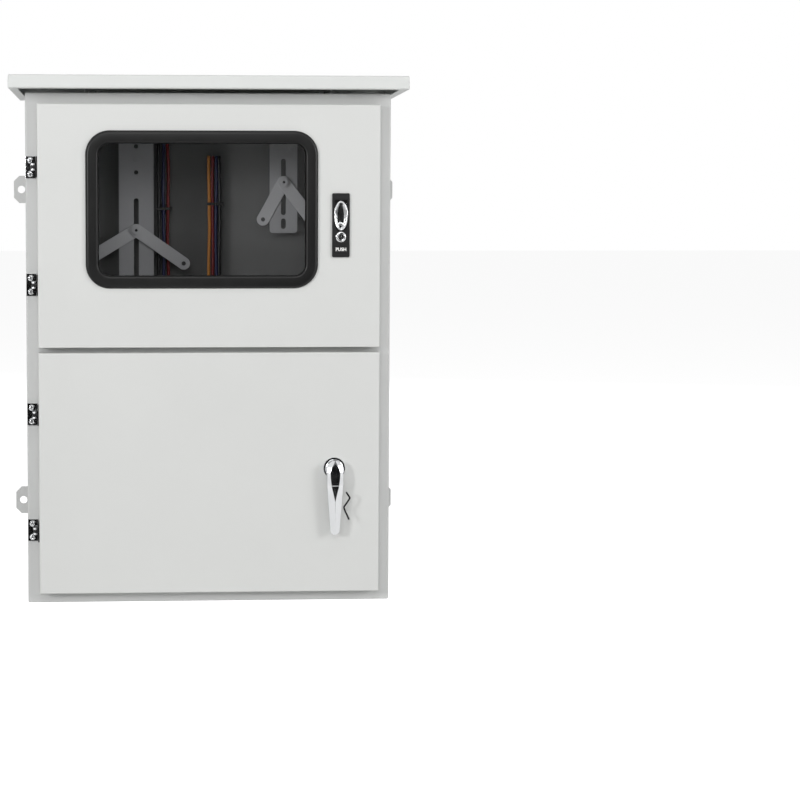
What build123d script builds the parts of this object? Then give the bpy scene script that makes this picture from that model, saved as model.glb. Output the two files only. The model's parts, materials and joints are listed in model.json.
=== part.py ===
from build123d import *
import os

# Wall box for photovoltaic metering and switching, in millimetres.
# X runs to the viewer's right, Z up, and the front looks along -Y.
# The origin is the middle of the four wall-ear holes, on the wall.

# Cabinet
BODY_WIDTH = 500.0
BODY_HEIGHT = 700.0
BODY_DEPTH = 200.0
SHEET = 1.5
EAR_HOLE_LOW = 113.0
EAR_HOLE_RISE = 460.0
EAR_REACH = 30.0
EAR_TALL = 40.0
EAR_THICK = 3.0
EAR_CHAMFER = 8.0
EAR_HOLE_RADIUS = 5.5
EAR_HOLE_INSET = 11.0
EAR_ROOT = 26.0

# Rain hood
HOOD_SIDE = 20.0
HOOD_FRONT = 40.0
HOOD_LIP = 18.0
HOOD_LIFT = 3.0
HOOD_RETURN = 12.0
HOOD_SLOPE_RISE = 14.0
BRACKET_X = 170.0
BRACKET_FOOT = 22.0
BRACKET_SETBACK = 25.0
HOOD_BOLT_RADIUS = 5.0
HOOD_BOLT_TALL = 4.0

# Doors
DOOR_SIDE_MARGIN = 17.0
DOOR_END_MARGIN = 16.0
DOOR_GAP = 7.0
DOOR_OVERLAP = 22.0
DOOR_STANDOFF = 2.0
DOOR_DEPTH = 20.0
LIP_REACH = 10.0
GASKET_WIDTH = 12.0

# Hinges
HINGE_SPREAD = 160.0
HINGE_TALL = 30.0
HINGE_LEAF_WIDE = 13.5
HINGE_LEAF_THICK = 3.0
HINGE_EDGE_GAP = 0.5
HINGE_AXIS_INSET = 11.5
HINGE_AXIS_REACH = 11.0
HINGE_EYE_RADIUS = 3.5
HINGE_TONGUE = 4.0
HINGE_CHEEK = 2.5
HINGE_SIDE_GAP = 0.3
HINGE_PIN_RADIUS = 1.6
HINGE_SCREW_INSET = 7.0
HINGE_SCREW_PITCH = 18.5
HINGE_SCREW_RADIUS = 4.2
HINGE_SCREW_TALL = 2.6
DOOR_LEAF_THICK = 1.5
DOOR_LEAF_TALL = 28.0
RUN_FIT = 0.05

# Small shafts and their holes are prisms with this many sides
FACETS = 8
WIRE_FACETS = 6

# Window
WINDOW_LEFT_MARGIN = 65.0
WINDOW_RIGHT_MARGIN = 85.0
WINDOW_TOP_MARGIN = 36.0
WINDOW_BOTTOM_MARGIN = 80.5
WINDOW_CORNER = 33.0
SEAL_SIGHT = 14.0
SEAL_OVERLAP = 6.0
SEAL_PROUD = 5.0
SEAL_REAR = 3.0
PANE_THICK = 3.0
PANE_BITE = 4.0
PANE_GAP = 0.3

# Flush lock in the upper door
LOCK_EDGE = 54.0
LOCK_RAISE = 1.25
LOCK_WIDE = 24.0
LOCK_TALL = 87.0
LOCK_PLATE = 2.5
LOCK_RIM = 2.0
LOCK_DEEP = 16.0
PADDLE_UP = 13.0
PADDLE_WIDE = 17.0
PADDLE_TALL = 40.0
PADDLE_THICK = 5.0
PADDLE_PROUD = 1.0
PADDLE_SIDE_GAP = 0.5
PADDLE_END_GAP = 1.4
PADDLE_FLOOR_GAP = 2.8
PADDLE_PIN_DROP = 4.0
PADDLE_PIN_RADIUS = 1.2
CYLINDER_DROP = 16.0
CYLINDER_RADIUS = 6.0
CYLINDER_HEAD_RADIUS = 7.0
CYLINDER_HEAD = 1.0
KEYWAY_WIDE = 1.6
KEYWAY_LONG = 8.0
KEYWAY_DEEP = 3.0
BUTTON_DROP = 33.0
BUTTON_WIDE = 15.4
BUTTON_TALL = 6.0
BUTTON_PROUD = 1.5
BUTTON_LONG = 8.0
BUTTON_GAP = 0.3
BUTTON_SPACE = 2.5

# Cams of both locks
TAIL_RADIUS = 4.0
STUD_RADIUS = 2.5
CAM_GAP = 2.0
CAM_THICK = 2.5
CAM_WIDE = 12.0
CAM_LONG = 48.0
CAM_NUT_RADIUS = 5.0
CAM_NUT_TALL = 3.5

# Lever lock in the lower door
LEVER_EDGE = 62.0
LEVER_RAISE = 5.75
ROSE_RADIUS = 15.0
ROSE_TALL = 6.0
SHANK_RADIUS = 9.0
SHANK_LONG = 12.0
ROSE_NUT_RADIUS = 14.0
ROSE_NUT_TALL = 5.0
SPINDLE_RADIUS = 6.0
LEVER_THICK = 12.0
LEVER_BLADE = 8.0
LEVER_TOP = 12.0
LEVER_HEAD_HALF = 10.3
LEVER_SHOULDER = 21.0
LEVER_SHOULDER_HALF = 11.0
LEVER_WAIST = 49.0
LEVER_WAIST_HALF = 9.0
LEVER_TIP = 90.0
LEVER_TIP_HALF = 5.5
LEVER_TIP_ROUND = 4.0
TIE_WIRE_RADIUS = 1.0
TIE_WIRE_SPAN = 9.5
TIE_WIRE_RISE = 13.0
TIE_WIRE_DROP = 52.0
TIE_WIRE_TAIL = 16.0
TIE_WIRE_HOOK = 6.5

# Mounting panels
PANEL_SIDE_MARGIN = 30.0
PANEL_END_MARGIN = 25.0
PANEL_THICK = 2.0
PANEL_STANDOFF = 50.0
PANEL_POST_RADIUS = 6.0
PANEL_POST_INSET = 18.0
PANEL_NUT_RADIUS = 6.5
PANEL_NUT_TALL = 5.0

# Meter strips and swing arms
STRIP_THICK = 2.0
STRIP_STANDOFF = 18.0
STRIP_CORNER = 5.0
STRIP_TOP_MARGIN = 30.0
STRIP_POST_RADIUS = 5.0
SLOT_WIDE = 7.0
LEFT_STRIP_X = -100.0
LEFT_STRIP_WIDE = 50.0
LEFT_STRIP_MARGIN = 10.0
LEFT_SLOT_TOP = 86.0
LEFT_SLOT_BOTTOM = 45.0
LEFT_HOLE_DROPS = (12.0, 49.0)
LEFT_POST_TOP = 30.0
LEFT_POST_BOTTOM = 15.0
LEFT_HOLE_RADIUS = 3.0
LEFT_PIVOT_DROP = 46.0
RIGHT_STRIP_X = 112.0
RIGHT_STRIP_WIDE = 40.0
RIGHT_STRIP_TALL = 136.0
RIGHT_SLOT_TOP = 29.0
RIGHT_SLOT_BOTTOM = 26.0
RIGHT_OBLONG_BOTTOM = 6.0
RIGHT_OBLONG_TALL = 15.0
RIGHT_POST_TOP = 13.0
RIGHT_POST_SPREAD = 24.0
RIGHT_PIVOT_DROP = 34.0
ARM_WIDE = 18.0
ARM_THICK = 2.0
ARM_PLAY = 0.1
ARM_END_HOLE = 3.0
LEFT_ARM_LONG = 83.0
LEFT_ARM_STEP = 11.0
LEFT_ARM_LAP = 3.0
RIGHT_ARM_LONG = 61.0
LEFT_PAIR_ANGLES = (211.0, -35.0)
RIGHT_PAIR_ANGLES = (241.0, -53.0)
PIVOT_RADIUS = 3.0
PIVOT_HEAD_RADIUS = 7.0
PIVOT_HEAD_TALL = 3.0
PIVOT_NUT_RADIUS = 6.5
PIVOT_NUT_TALL = 5.0

# Divider shelf, wires and ties
SHELF_FLANGE = 15.0
WIRE_RADIUS = 2.3
WIRE_ELBOW = 24.0
WIRE_STANDOFF = 14.0
WIRE_BREAK_DROP = 28.0
WIRE_ENTRY = 28.0
WIRE_SOCKET = 9.0
WIRE_SOCKET_GAP = 0.3
LEFT_WIRES_X = -61.0
LEFT_WIRES_PITCH = 6.6
LEFT_WIRES_DROP = 25.0
LEFT_TIE_DROP = 133.0
MIDDLE_WIRES_X = 12.5
MIDDLE_WIRES_PITCH = 5.0
MIDDLE_WIRES_DROP = 55.0
MIDDLE_TIE_DROP = 126.0
TIE_THICK = 1.2
TIE_WIDE = 4.0
TIE_GAP = 0.1
TIE_HEAD = 6.0
SADDLE_WIDE = 14.0
GROMMET_WALL = 3.0
GROMMET_FLANGE = 3.0
GROMMET_LIP = 2.0
GROMMET_GAP = 1.0

# Gland plate in the floor
GLAND_WINDOW_WIDE = 220.0
GLAND_WINDOW_DEEP = 70.0
GLAND_MARGIN = 16.0
GLAND_PLATE = 2.0
GLAND_GASKET = 3.0
ENTRY_PITCH = 70.0
ENTRY_RADIUS = 12.0
ENTRY_WALL = 4.0
ENTRY_FLANGE = 4.0
ENTRY_LOWER = 2.5
ENTRY_UPPER = 3.0

# Mounting rail and switchgear in the lower chamber
RAIL_X = -10.0
RAIL_RAISE = 30.0
RAIL_LONG = 390.0
RAIL_TALL = 35.0
RAIL_CHANNEL = 25.0
RAIL_DEEP = 7.5
RAIL_THICK = 1.2
RAIL_SCREW_SPREAD = 350.0
POLE_PITCH = 18.0
POLES = 4
CASE_TALL = 86.0
CASE_DEEP = 52.0
CASE_NOSE_TALL = 45.0
CASE_NOSE_DEEP = 10.0
ISOLATOR_X = -95.0
BREAKER_X = 12.0
SURGE_X = 110.0
SURGE_MODULE_GAP = 0.4
SURGE_BASE_NOSE = 8.0
SURGE_MODULE_DEEP = 24.0
TOGGLE_RADIUS = 9.0
TOGGLE_GAP = 0.4
TOGGLE_SET = 3.0
TOGGLE_WIDE = 60.0
TOGGLE_GRIP_WIDE = 50.0
TOGGLE_GRIP_LONG = 22.0
TOGGLE_GRIP_THICK = 6.0
TOGGLE_ANGLE = 35.0
BAR_RAISE = 45.0
BAR_LONG = 150.0
BAR_TALL = 15.0
BAR_THICK = 4.0
BAR_STANDOFF = 25.0
BAR_SPREAD = 95.0
BAR_POST_RADIUS = 6.0
BAR_POST_SPREAD = 110.0
BAR_SCREWS = 6
BAR_SCREW_PITCH = 15.0

# Hexagon screws of the gland plate, strips, rail and bars
SCREW_RADIUS = 4.5
SCREW_TALL = 2.5

# Places that follow from the sizes
FLOOR = -EAR_HOLE_LOW - EAR_HOLE_RISE / 2
ROOF = FLOOR + BODY_HEIGHT
SIDE = BODY_WIDTH / 2
BACK = -EAR_THICK
FRAME = BACK - BODY_DEPTH
DOOR_REAR = FRAME - DOOR_STANDOFF
DOOR_FACE = DOOR_REAR - DOOR_DEPTH
DOOR_SKIN = DOOR_FACE + SHEET
DOOR_EDGE = SIDE - DOOR_SIDE_MARGIN
DOOR_HEIGHT = (BODY_HEIGHT - 2 * DOOR_END_MARGIN - DOOR_GAP) / 2
LOWER_DOOR_LOW = FLOOR + DOOR_END_MARGIN
UPPER_DOOR_LOW = LOWER_DOOR_LOW + DOOR_HEIGHT + DOOR_GAP
DOOR_LOWS = (LOWER_DOOR_LOW, UPPER_DOOR_LOW)
OPENING_EDGE = DOOR_EDGE - DOOR_OVERLAP
SHELF_TOP = UPPER_DOOR_LOW - DOOR_GAP / 2
CHAMBER_MIDDLES = ((FLOOR + SHELF_TOP) / 2, (SHELF_TOP + ROOF) / 2)
PANEL_WIDTH = BODY_WIDTH - 2 * PANEL_SIDE_MARGIN
PANEL_HEIGHT = BODY_HEIGHT / 2 - 2 * PANEL_END_MARGIN
UPPER_PANEL_TOP = CHAMBER_MIDDLES[1] + PANEL_HEIGHT / 2
LOCK_X = DOOR_EDGE - LOCK_EDGE
LOCK_Z = UPPER_DOOR_LOW + DOOR_HEIGHT / 2 + LOCK_RAISE
LEVER_X = DOOR_EDGE - LEVER_EDGE
LEVER_Z = LOWER_DOOR_LOW + DOOR_HEIGHT / 2 + LEVER_RAISE
STRIP_TOP = UPPER_PANEL_TOP - STRIP_TOP_MARGIN
LEFT_STRIP_LOW = UPPER_PANEL_TOP - PANEL_HEIGHT + LEFT_STRIP_MARGIN
LEFT_PIVOT_Z = STRIP_TOP - LEFT_SLOT_TOP - LEFT_PIVOT_DROP
RIGHT_STRIP_LOW = STRIP_TOP - RIGHT_STRIP_TALL
RIGHT_PIVOT_Z = STRIP_TOP - RIGHT_SLOT_TOP - RIGHT_PIVOT_DROP
RAIL_Z = CHAMBER_MIDDLES[0] + RAIL_RAISE
BAR_Z = CHAMBER_MIDDLES[0] - PANEL_HEIGHT / 2 + BAR_RAISE
PANEL_REAR = BACK - SHEET - PANEL_STANDOFF
PANEL_FACE = PANEL_REAR - PANEL_THICK
STRIP_REAR = PANEL_FACE - STRIP_STANDOFF
STRIP_FACE = STRIP_REAR - STRIP_THICK
ARM_PLANES = (STRIP_FACE, STRIP_FACE - ARM_THICK - ARM_PLAY)
HINGE_X = HINGE_AXIS_INSET - SIDE
HINGE_Y = FRAME - HINGE_AXIS_REACH
CAM_FACE = FRAME + SHEET + CAM_GAP
RAIL_FACE = PANEL_FACE - RAIL_DEEP
WIRE_Y = PANEL_FACE - WIRE_STANDOFF
CASE_WIDE = POLES * POLE_PITCH
CASE_TOP = RAIL_Z + CASE_TALL / 2


def block(x0, x1, y0, y1, z0, z1):
    return Pos((x0 + x1) / 2, (y0 + y1) / 2, (z0 + z1) / 2) * Box(x1 - x0, y1 - y0, z1 - z0)


def slab(outline, y_front, y_rear):
    """A flat piece facing the viewer: an X-Z outline given depth in Y."""
    return extrude(Plane.XZ.offset(-y_rear) * outline, y_rear - y_front)


def rod(x, z, y_front, y_rear, radius):
    return slab(Pos(x, z) * Circle(radius), y_front, y_rear)


def shaft(radius):
    """A small round section: its corners lie on the radius."""
    return RegularPolygon(radius, FACETS)


def hole(radius):
    """A hole for a small shaft: its flats lie on the radius."""
    return RegularPolygon(radius, FACETS, major_radius=False)


def peg(x, z, y_front, y_rear, radius):
    return slab(Pos(x, z) * shaft(radius), y_front, y_rear)


def bore(x, z, y_front, y_rear, radius):
    return slab(Pos(x, z) * hole(radius), y_front, y_rear)


def hexagon(x, z, y_front, y_rear, radius):
    return slab(Pos(x, z) * RegularPolygon(radius, 6), y_front, y_rear)


def upright(outline, z_low, z_high):
    """An X-Y outline given height in Z."""
    return extrude(Plane.XY.offset(z_low) * outline, z_high - z_low)


def rounded(x, z, wide, tall, corner):
    return Pos(x, z) * RectangleRounded(wide, tall, corner)


def upright_slot(x, z_low, z_high, wide):
    return Pos(x, (z_low + z_high) / 2) * SlotOverall(z_high - z_low, wide, rotation=90)


def save(name, *pieces):
    solids = [solid for piece in pieces for solid in piece.solids()]
    export_step(Compound(solids), "parts/" + name + ".step")


def opening_span(door_low):
    return door_low + DOOR_OVERLAP, door_low + DOOR_HEIGHT - DOOR_OVERLAP


def cabinet_shell():
    shell = block(-SIDE, SIDE, FRAME, BACK, FLOOR, ROOF)
    shell -= block(SHEET - SIDE, SIDE - SHEET, FRAME + SHEET, BACK - SHEET, FLOOR + SHEET, ROOF - SHEET)
    for door_low in DOOR_LOWS:
        low, high = opening_span(door_low)
        edge = OPENING_EDGE + SHEET
        shell += block(-edge, edge, FRAME - LIP_REACH, FRAME, low - SHEET, high + SHEET)
        shell -= block(-OPENING_EDGE, OPENING_EDGE, FRAME - LIP_REACH, FRAME + SHEET, low, high)
    shell -= gland_window(FLOOR, FLOOR + SHEET)
    return shell


def gland_window(z_low, z_high):
    half_wide = GLAND_WINDOW_WIDE / 2
    half_deep = GLAND_WINDOW_DEEP / 2
    middle = BACK - BODY_DEPTH / 2
    return block(-half_wide, half_wide, middle - half_deep, middle + half_deep, z_low, z_high)


def wall_ear(side, z):
    reach = EAR_REACH + EAR_ROOT
    outline = Rectangle(reach, EAR_TALL)
    tips = outline.vertices().sort_by(Axis.X)[-2:]
    outline = chamfer(tips, EAR_CHAMFER)
    outline -= Pos(reach / 2 - EAR_HOLE_INSET, 0) * Circle(EAR_HOLE_RADIUS)
    place = Pos(side * (SIDE + (EAR_REACH - EAR_ROOT) / 2), z)
    turn = Rot(0, 0, 0) if side > 0 else Rot(0, 0, 180)
    return slab(place * turn * outline, -EAR_THICK, 0)


def hood_top(y):
    run = BODY_DEPTH + HOOD_FRONT
    front = FRAME - HOOD_FRONT
    return ROOF + HOOD_LIFT + HOOD_LIP + HOOD_SLOPE_RISE * (y - front) / run


def hood_solid(front, rear, half_wide, low, drop):
    """A block under the hood's sloping roof, its top lowered by drop."""
    points = [(front, low), (rear, low), (rear, hood_top(rear) - drop), (front, hood_top(front) - drop)]
    side_view = make_face(Polyline(*points, close=True))
    return extrude(Plane.YZ.offset(-half_wide) * side_view, 2 * half_wide)


def rain_hood():
    front = FRAME - HOOD_FRONT
    half_wide = SIDE + HOOD_SIDE
    low = ROOF + HOOD_LIFT
    inner_rear = BACK - SHEET
    hood = hood_solid(front, BACK, half_wide, low, 0)
    hood -= hood_solid(front + SHEET, inner_rear, half_wide - SHEET, low + SHEET, SHEET)
    inner = half_wide - HOOD_RETURN
    hood -= block(-inner, inner, front + HOOD_RETURN, inner_rear, low, low + SHEET)
    return hood


def hood_bracket(side):
    """An angle that stands on the roof and carries the sloping hood sheet."""
    front = FRAME + BRACKET_SETBACK
    rear = BACK - BRACKET_SETBACK
    web = Pos(side * BRACKET_X, 0, 0) * hood_solid(front, rear, SHEET / 2, ROOF, SHEET)
    inner = side * (BRACKET_X - BRACKET_FOOT)
    foot = block(min(inner, side * BRACKET_X), max(inner, side * BRACKET_X), front, rear, ROOF, ROOF + SHEET)
    return web + foot


def hood_bolts():
    x = BRACKET_X - BRACKET_FOOT / 2
    low = ROOF + SHEET
    ends = (FRAME + 2 * BRACKET_SETBACK, BACK - 2 * BRACKET_SETBACK)
    head = RegularPolygon(HOOD_BOLT_RADIUS, 6)
    return [upright(Pos(side * x, y) * head, low, low + HOOD_BOLT_TALL) for side in (-1, 1) for y in ends]


def door_tray(door_low):
    high = door_low + DOOR_HEIGHT
    tray = block(-DOOR_EDGE, DOOR_EDGE, DOOR_FACE, DOOR_REAR, door_low, high)
    inner = DOOR_EDGE - SHEET
    return tray - block(-inner, inner, DOOR_SKIN, DOOR_REAR, door_low + SHEET, high - SHEET)


def door_gasket(door_low):
    """A foam frame between the door skin and the rain lip."""
    low, high = opening_span(door_low)
    grow = (GASKET_WIDTH + SHEET) / 2
    shrink = (GASKET_WIDTH - SHEET) / 2
    wide = OPENING_EDGE + grow
    narrow = OPENING_EDGE - shrink
    rear = FRAME - LIP_REACH
    foam = block(-wide, wide, DOOR_SKIN, rear, low - grow, high + grow)
    return foam - block(-narrow, narrow, DOOR_SKIN, rear, low + shrink, high - shrink)


def window_outline(inset):
    left = WINDOW_LEFT_MARGIN + inset - DOOR_EDGE
    right = DOOR_EDGE - WINDOW_RIGHT_MARGIN - inset
    low = UPPER_DOOR_LOW + WINDOW_BOTTOM_MARGIN + inset
    high = UPPER_DOOR_LOW + DOOR_HEIGHT - WINDOW_TOP_MARGIN - inset
    return rounded((left + right) / 2, (low + high) / 2, right - left, high - low, WINDOW_CORNER - inset)


def window_seal():
    """A rubber frame that grips the door skin outside and the pane inside."""
    glass_edge = SEAL_OVERLAP + PANE_BITE
    pane_rear = DOOR_FACE + PANE_THICK
    rear = pane_rear + SEAL_REAR
    seal = slab(window_outline(0) - window_outline(SEAL_SIGHT), DOOR_FACE - SEAL_PROUD, DOOR_FACE)
    seal += slab(window_outline(SEAL_OVERLAP) - window_outline(glass_edge), DOOR_FACE, rear)
    seal += slab(window_outline(0) - window_outline(SEAL_OVERLAP), DOOR_SKIN, rear)
    seal += slab(window_outline(glass_edge) - window_outline(SEAL_SIGHT), pane_rear, rear)
    return seal


def window_pane():
    return slab(window_outline(SEAL_OVERLAP + PANE_BITE + PANE_GAP), DOOR_FACE, DOOR_FACE + PANE_THICK)


def hinge_heights(door_low):
    middle = door_low + DOOR_HEIGHT / 2
    return middle - HINGE_SPREAD / 2, middle + HINGE_SPREAD / 2


def eye(z_low, z_high):
    return upright(Pos(HINGE_X, HINGE_Y) * shaft(HINGE_EYE_RADIUS), z_low, z_high)


def pin_bore(z):
    return Pos(HINGE_X, HINGE_Y, z) * Cylinder(HINGE_PIN_RADIUS + RUN_FIT, HINGE_TALL)


def hinge_frame_leaf(z):
    left = HINGE_EDGE_GAP - SIDE
    face = FRAME - HINGE_LEAF_THICK
    leaf = block(left, left + HINGE_LEAF_WIDE, face, FRAME, z - HINGE_TALL / 2, z + HINGE_TALL / 2)
    near = HINGE_TONGUE / 2 + HINGE_SIDE_GAP
    for low in (z + near, z - near - HINGE_CHEEK):
        arm_left = HINGE_X - HINGE_EYE_RADIUS
        arm_right = left + HINGE_LEAF_WIDE
        leaf += block(arm_left, arm_right, HINGE_Y, face, low, low + HINGE_CHEEK)
        leaf += eye(low, low + HINGE_CHEEK)
    pin_hole = Pos(HINGE_X, HINGE_Y) * hole(HINGE_PIN_RADIUS + RUN_FIT)
    return leaf - upright(pin_hole, z - HINGE_TALL / 2, z + HINGE_TALL / 2)


def hinge_pin(z):
    half = HINGE_TONGUE / 2 + HINGE_SIDE_GAP + HINGE_CHEEK
    return upright(Pos(HINGE_X, HINGE_Y) * Circle(HINGE_PIN_RADIUS), z - half, z + half)


def hinge_door_leaf(z):
    left = -DOOR_EDGE - DOOR_LEAF_THICK
    half = DOOR_LEAF_TALL / 2
    leaf = block(left, -DOOR_EDGE, DOOR_FACE + SHEET, DOOR_REAR, z - half, z + half)
    low = z - HINGE_TONGUE / 2
    high = z + HINGE_TONGUE / 2
    leaf += block(HINGE_X, left, HINGE_Y - HINGE_EYE_RADIUS, HINGE_Y + HINGE_EYE_RADIUS, low, high)
    leaf += eye(low, high)
    return leaf - pin_bore(z)


def hinge_screws(z):
    x = HINGE_SCREW_INSET - SIDE
    rear = FRAME - HINGE_LEAF_THICK
    places = (z - HINGE_SCREW_PITCH / 2, z + HINGE_SCREW_PITCH / 2)
    return [peg(x, place, rear - HINGE_SCREW_TALL, rear, HINGE_SCREW_RADIUS) for place in places]


def lock_z(drop):
    return LOCK_Z - drop


def paddle_outline(side_gap, end_gap):
    long = PADDLE_TALL + 2 * end_gap
    return Pos(LOCK_X, lock_z(-PADDLE_UP)) * SlotOverall(long, PADDLE_WIDE + 2 * side_gap, rotation=90)


def paddle_pocket():
    """The paddle's recess, square at the top so that the paddle can turn out."""
    tall = PADDLE_TALL / 2 + PADDLE_END_GAP
    upper = Pos(LOCK_X, lock_z(-PADDLE_UP) + tall / 2) * Rectangle(PADDLE_WIDE + 2 * PADDLE_SIDE_GAP, tall)
    return paddle_outline(PADDLE_SIDE_GAP, PADDLE_END_GAP) + upper


def paddle_pin_place():
    z = lock_z(-PADDLE_UP) + PADDLE_TALL / 2 - PADDLE_PIN_DROP
    y = DOOR_FACE - LOCK_PLATE - PADDLE_PROUD + PADDLE_THICK / 2
    return y, z


def paddle_pin(half_long, section):
    y, z = paddle_pin_place()
    return extrude(Plane.YZ.offset(LOCK_X - half_long) * (Pos(y, z) * section), 2 * half_long)


def lock_body_outline(gap):
    wide = LOCK_WIDE - 2 * LOCK_RIM + 2 * gap
    tall = LOCK_TALL - 2 * LOCK_RIM + 2 * gap
    return Pos(LOCK_X, lock_z(0)) * Rectangle(wide, tall)


def button_outline(gap):
    return Pos(LOCK_X, lock_z(BUTTON_DROP)) * Rectangle(BUTTON_WIDE + 2 * gap, BUTTON_TALL + 2 * gap)


def flush_lock_case():
    front = DOOR_FACE - LOCK_PLATE
    rear = DOOR_FACE + LOCK_DEEP
    case = slab(rounded(LOCK_X, lock_z(0), LOCK_WIDE, LOCK_TALL, LOCK_RIM), front, DOOR_FACE)
    case += slab(lock_body_outline(0), DOOR_FACE, rear)
    pocket_floor = front - PADDLE_PROUD + PADDLE_THICK + PADDLE_FLOOR_GAP
    case -= slab(paddle_pocket(), front, pocket_floor)
    case -= paddle_pin(PADDLE_WIDE / 2 + LOCK_RIM / 2, hole(PADDLE_PIN_RADIUS + RUN_FIT))
    case -= bore(LOCK_X, lock_z(CYLINDER_DROP), front, rear, CYLINDER_RADIUS + RUN_FIT)
    button_floor = front - BUTTON_PROUD + BUTTON_LONG + BUTTON_SPACE
    case -= slab(button_outline(BUTTON_GAP), front, button_floor)
    return case


def lock_paddle():
    front = DOOR_FACE - LOCK_PLATE - PADDLE_PROUD
    paddle = slab(paddle_outline(0, 0), front, front + PADDLE_THICK)
    return paddle - paddle_pin(PADDLE_WIDE, Circle(PADDLE_PIN_RADIUS + RUN_FIT))


def cam_tail(x, z, y_front):
    """The part of a lock that reaches back through the door to its cam."""
    tail = peg(x, z, y_front, CAM_FACE, TAIL_RADIUS)
    return tail + peg(x, z, CAM_FACE, CAM_FACE + CAM_THICK + CAM_NUT_TALL, STUD_RADIUS)


def lock_cylinder():
    z = lock_z(CYLINDER_DROP)
    front = DOOR_FACE - LOCK_PLATE
    head_front = front - CYLINDER_HEAD
    cylinder = rod(LOCK_X, z, head_front, front, CYLINDER_HEAD_RADIUS)
    cylinder += peg(LOCK_X, z, front, DOOR_FACE + LOCK_DEEP, CYLINDER_RADIUS)
    cylinder += cam_tail(LOCK_X, z, DOOR_FACE + LOCK_DEEP)
    keyway = Pos(LOCK_X, z) * Rectangle(KEYWAY_WIDE, KEYWAY_LONG)
    return cylinder - slab(keyway, head_front, head_front + KEYWAY_DEEP)


def cam(x, z, way):
    """A flat cam that points down (way -1) or up (way 1) while released."""
    root = z - way * CAM_WIDE / 2
    tip = z + way * CAM_LONG
    outline = Pos(x, (root + tip) / 2) * Rectangle(CAM_WIDE, abs(tip - root))
    outline -= Pos(x, z) * hole(STUD_RADIUS + RUN_FIT)
    return slab(outline, CAM_FACE, CAM_FACE + CAM_THICK)


def cam_nut(x, z):
    front = CAM_FACE + CAM_THICK
    rear = front + CAM_NUT_TALL
    return hexagon(x, z, front, rear, CAM_NUT_RADIUS) - bore(x, z, front, rear, STUD_RADIUS + RUN_FIT)


def lock_button():
    front = DOOR_FACE - LOCK_PLATE - BUTTON_PROUD
    return slab(button_outline(0), front, front + BUTTON_LONG)


def handle_rose():
    front = DOOR_FACE - ROSE_TALL
    rear = DOOR_FACE + SHANK_LONG
    rose = rod(LEVER_X, LEVER_Z, front, DOOR_FACE, ROSE_RADIUS)
    rose += peg(LEVER_X, LEVER_Z, DOOR_FACE, rear, SHANK_RADIUS)
    return rose - bore(LEVER_X, LEVER_Z, front, rear, SPINDLE_RADIUS + RUN_FIT)


def rose_nut():
    rear = DOOR_SKIN + ROSE_NUT_TALL
    ring = hexagon(LEVER_X, LEVER_Z, DOOR_SKIN, rear, ROSE_NUT_RADIUS)
    return ring - bore(LEVER_X, LEVER_Z, DOOR_SKIN, rear, SHANK_RADIUS + RUN_FIT)


def lever_outline():
    half = [
        (LEVER_HEAD_HALF * 0.62, LEVER_TOP),
        (LEVER_HEAD_HALF, LEVER_TOP * 0.35),
        (LEVER_SHOULDER_HALF, -LEVER_SHOULDER),
        (LEVER_WAIST_HALF, -LEVER_WAIST),
        (LEVER_TIP_HALF, -LEVER_TIP),
    ]
    other = [(-x, z) for x, z in reversed(half)]
    outline = make_face(Polyline(*half, *other, close=True))
    corners = outline.vertices().sort_by(Axis.Y)[:2]
    return Pos(LEVER_X, LEVER_Z) * fillet(corners, LEVER_TIP_ROUND)


def lever_handle():
    rear = DOOR_FACE - ROSE_TALL
    front = rear - LEVER_THICK
    lever = slab(lever_outline(), front, rear)
    half = LEVER_SHOULDER_HALF
    below = LEVER_Z - ROSE_RADIUS
    lever -= block(LEVER_X - half, LEVER_X + half, front + LEVER_BLADE, rear, LEVER_Z - LEVER_TIP, below)
    lever += peg(LEVER_X, LEVER_Z, rear, DOOR_FACE + SHANK_LONG, SPINDLE_RADIUS)
    return lever + cam_tail(LEVER_X, LEVER_Z, DOOR_FACE + SHANK_LONG)


def wire_along(line, radius):
    section = Plane(origin=line @ 0, z_dir=line % 0) * RegularPolygon(radius, WIRE_FACETS)
    return sweep(section, path=line, transition=Transition.RIGHT)


def tie_wire():
    """A bent wire that stays beside the lever, touching its edge."""
    x = LEVER_X + LEVER_WAIST_HALF + TIE_WIRE_RADIUS
    y = DOOR_FACE - ROSE_TALL - LEVER_THICK + LEVER_BLADE / 2
    z = LEVER_Z - TIE_WIRE_DROP
    far = x + TIE_WIRE_SPAN
    hook = z + TIE_WIRE_RISE
    points = [
        (far - TIE_WIRE_HOOK, y, hook + TIE_WIRE_HOOK),
        (far, y, hook),
        (x, y, z),
        (x + TIE_WIRE_TAIL / 2, y, z - TIE_WIRE_TAIL),
    ]
    return wire_along(Polyline(*points), TIE_WIRE_RADIUS)


def mounting_panel(middle):
    half_wide = PANEL_WIDTH / 2
    half_tall = PANEL_HEIGHT / 2
    return block(-half_wide, half_wide, PANEL_FACE, PANEL_REAR, middle - half_tall, middle + half_tall)


def panel_corners(middle):
    x = PANEL_WIDTH / 2 - PANEL_POST_INSET
    z = PANEL_HEIGHT / 2 - PANEL_POST_INSET
    return [(sx * x, middle + sz * z) for sx in (-1, 1) for sz in (-1, 1)]


def panel_posts(middle):
    return [hexagon(x, z, PANEL_REAR, BACK - SHEET, PANEL_POST_RADIUS) for x, z in panel_corners(middle)]


def panel_nuts(middle):
    front = PANEL_FACE - PANEL_NUT_TALL
    return [hexagon(x, z, front, PANEL_FACE, PANEL_NUT_RADIUS) for x, z in panel_corners(middle)]


def strip_outline(x, wide, low, high):
    return rounded(x, (low + high) / 2, wide, high - low, STRIP_CORNER)


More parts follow.
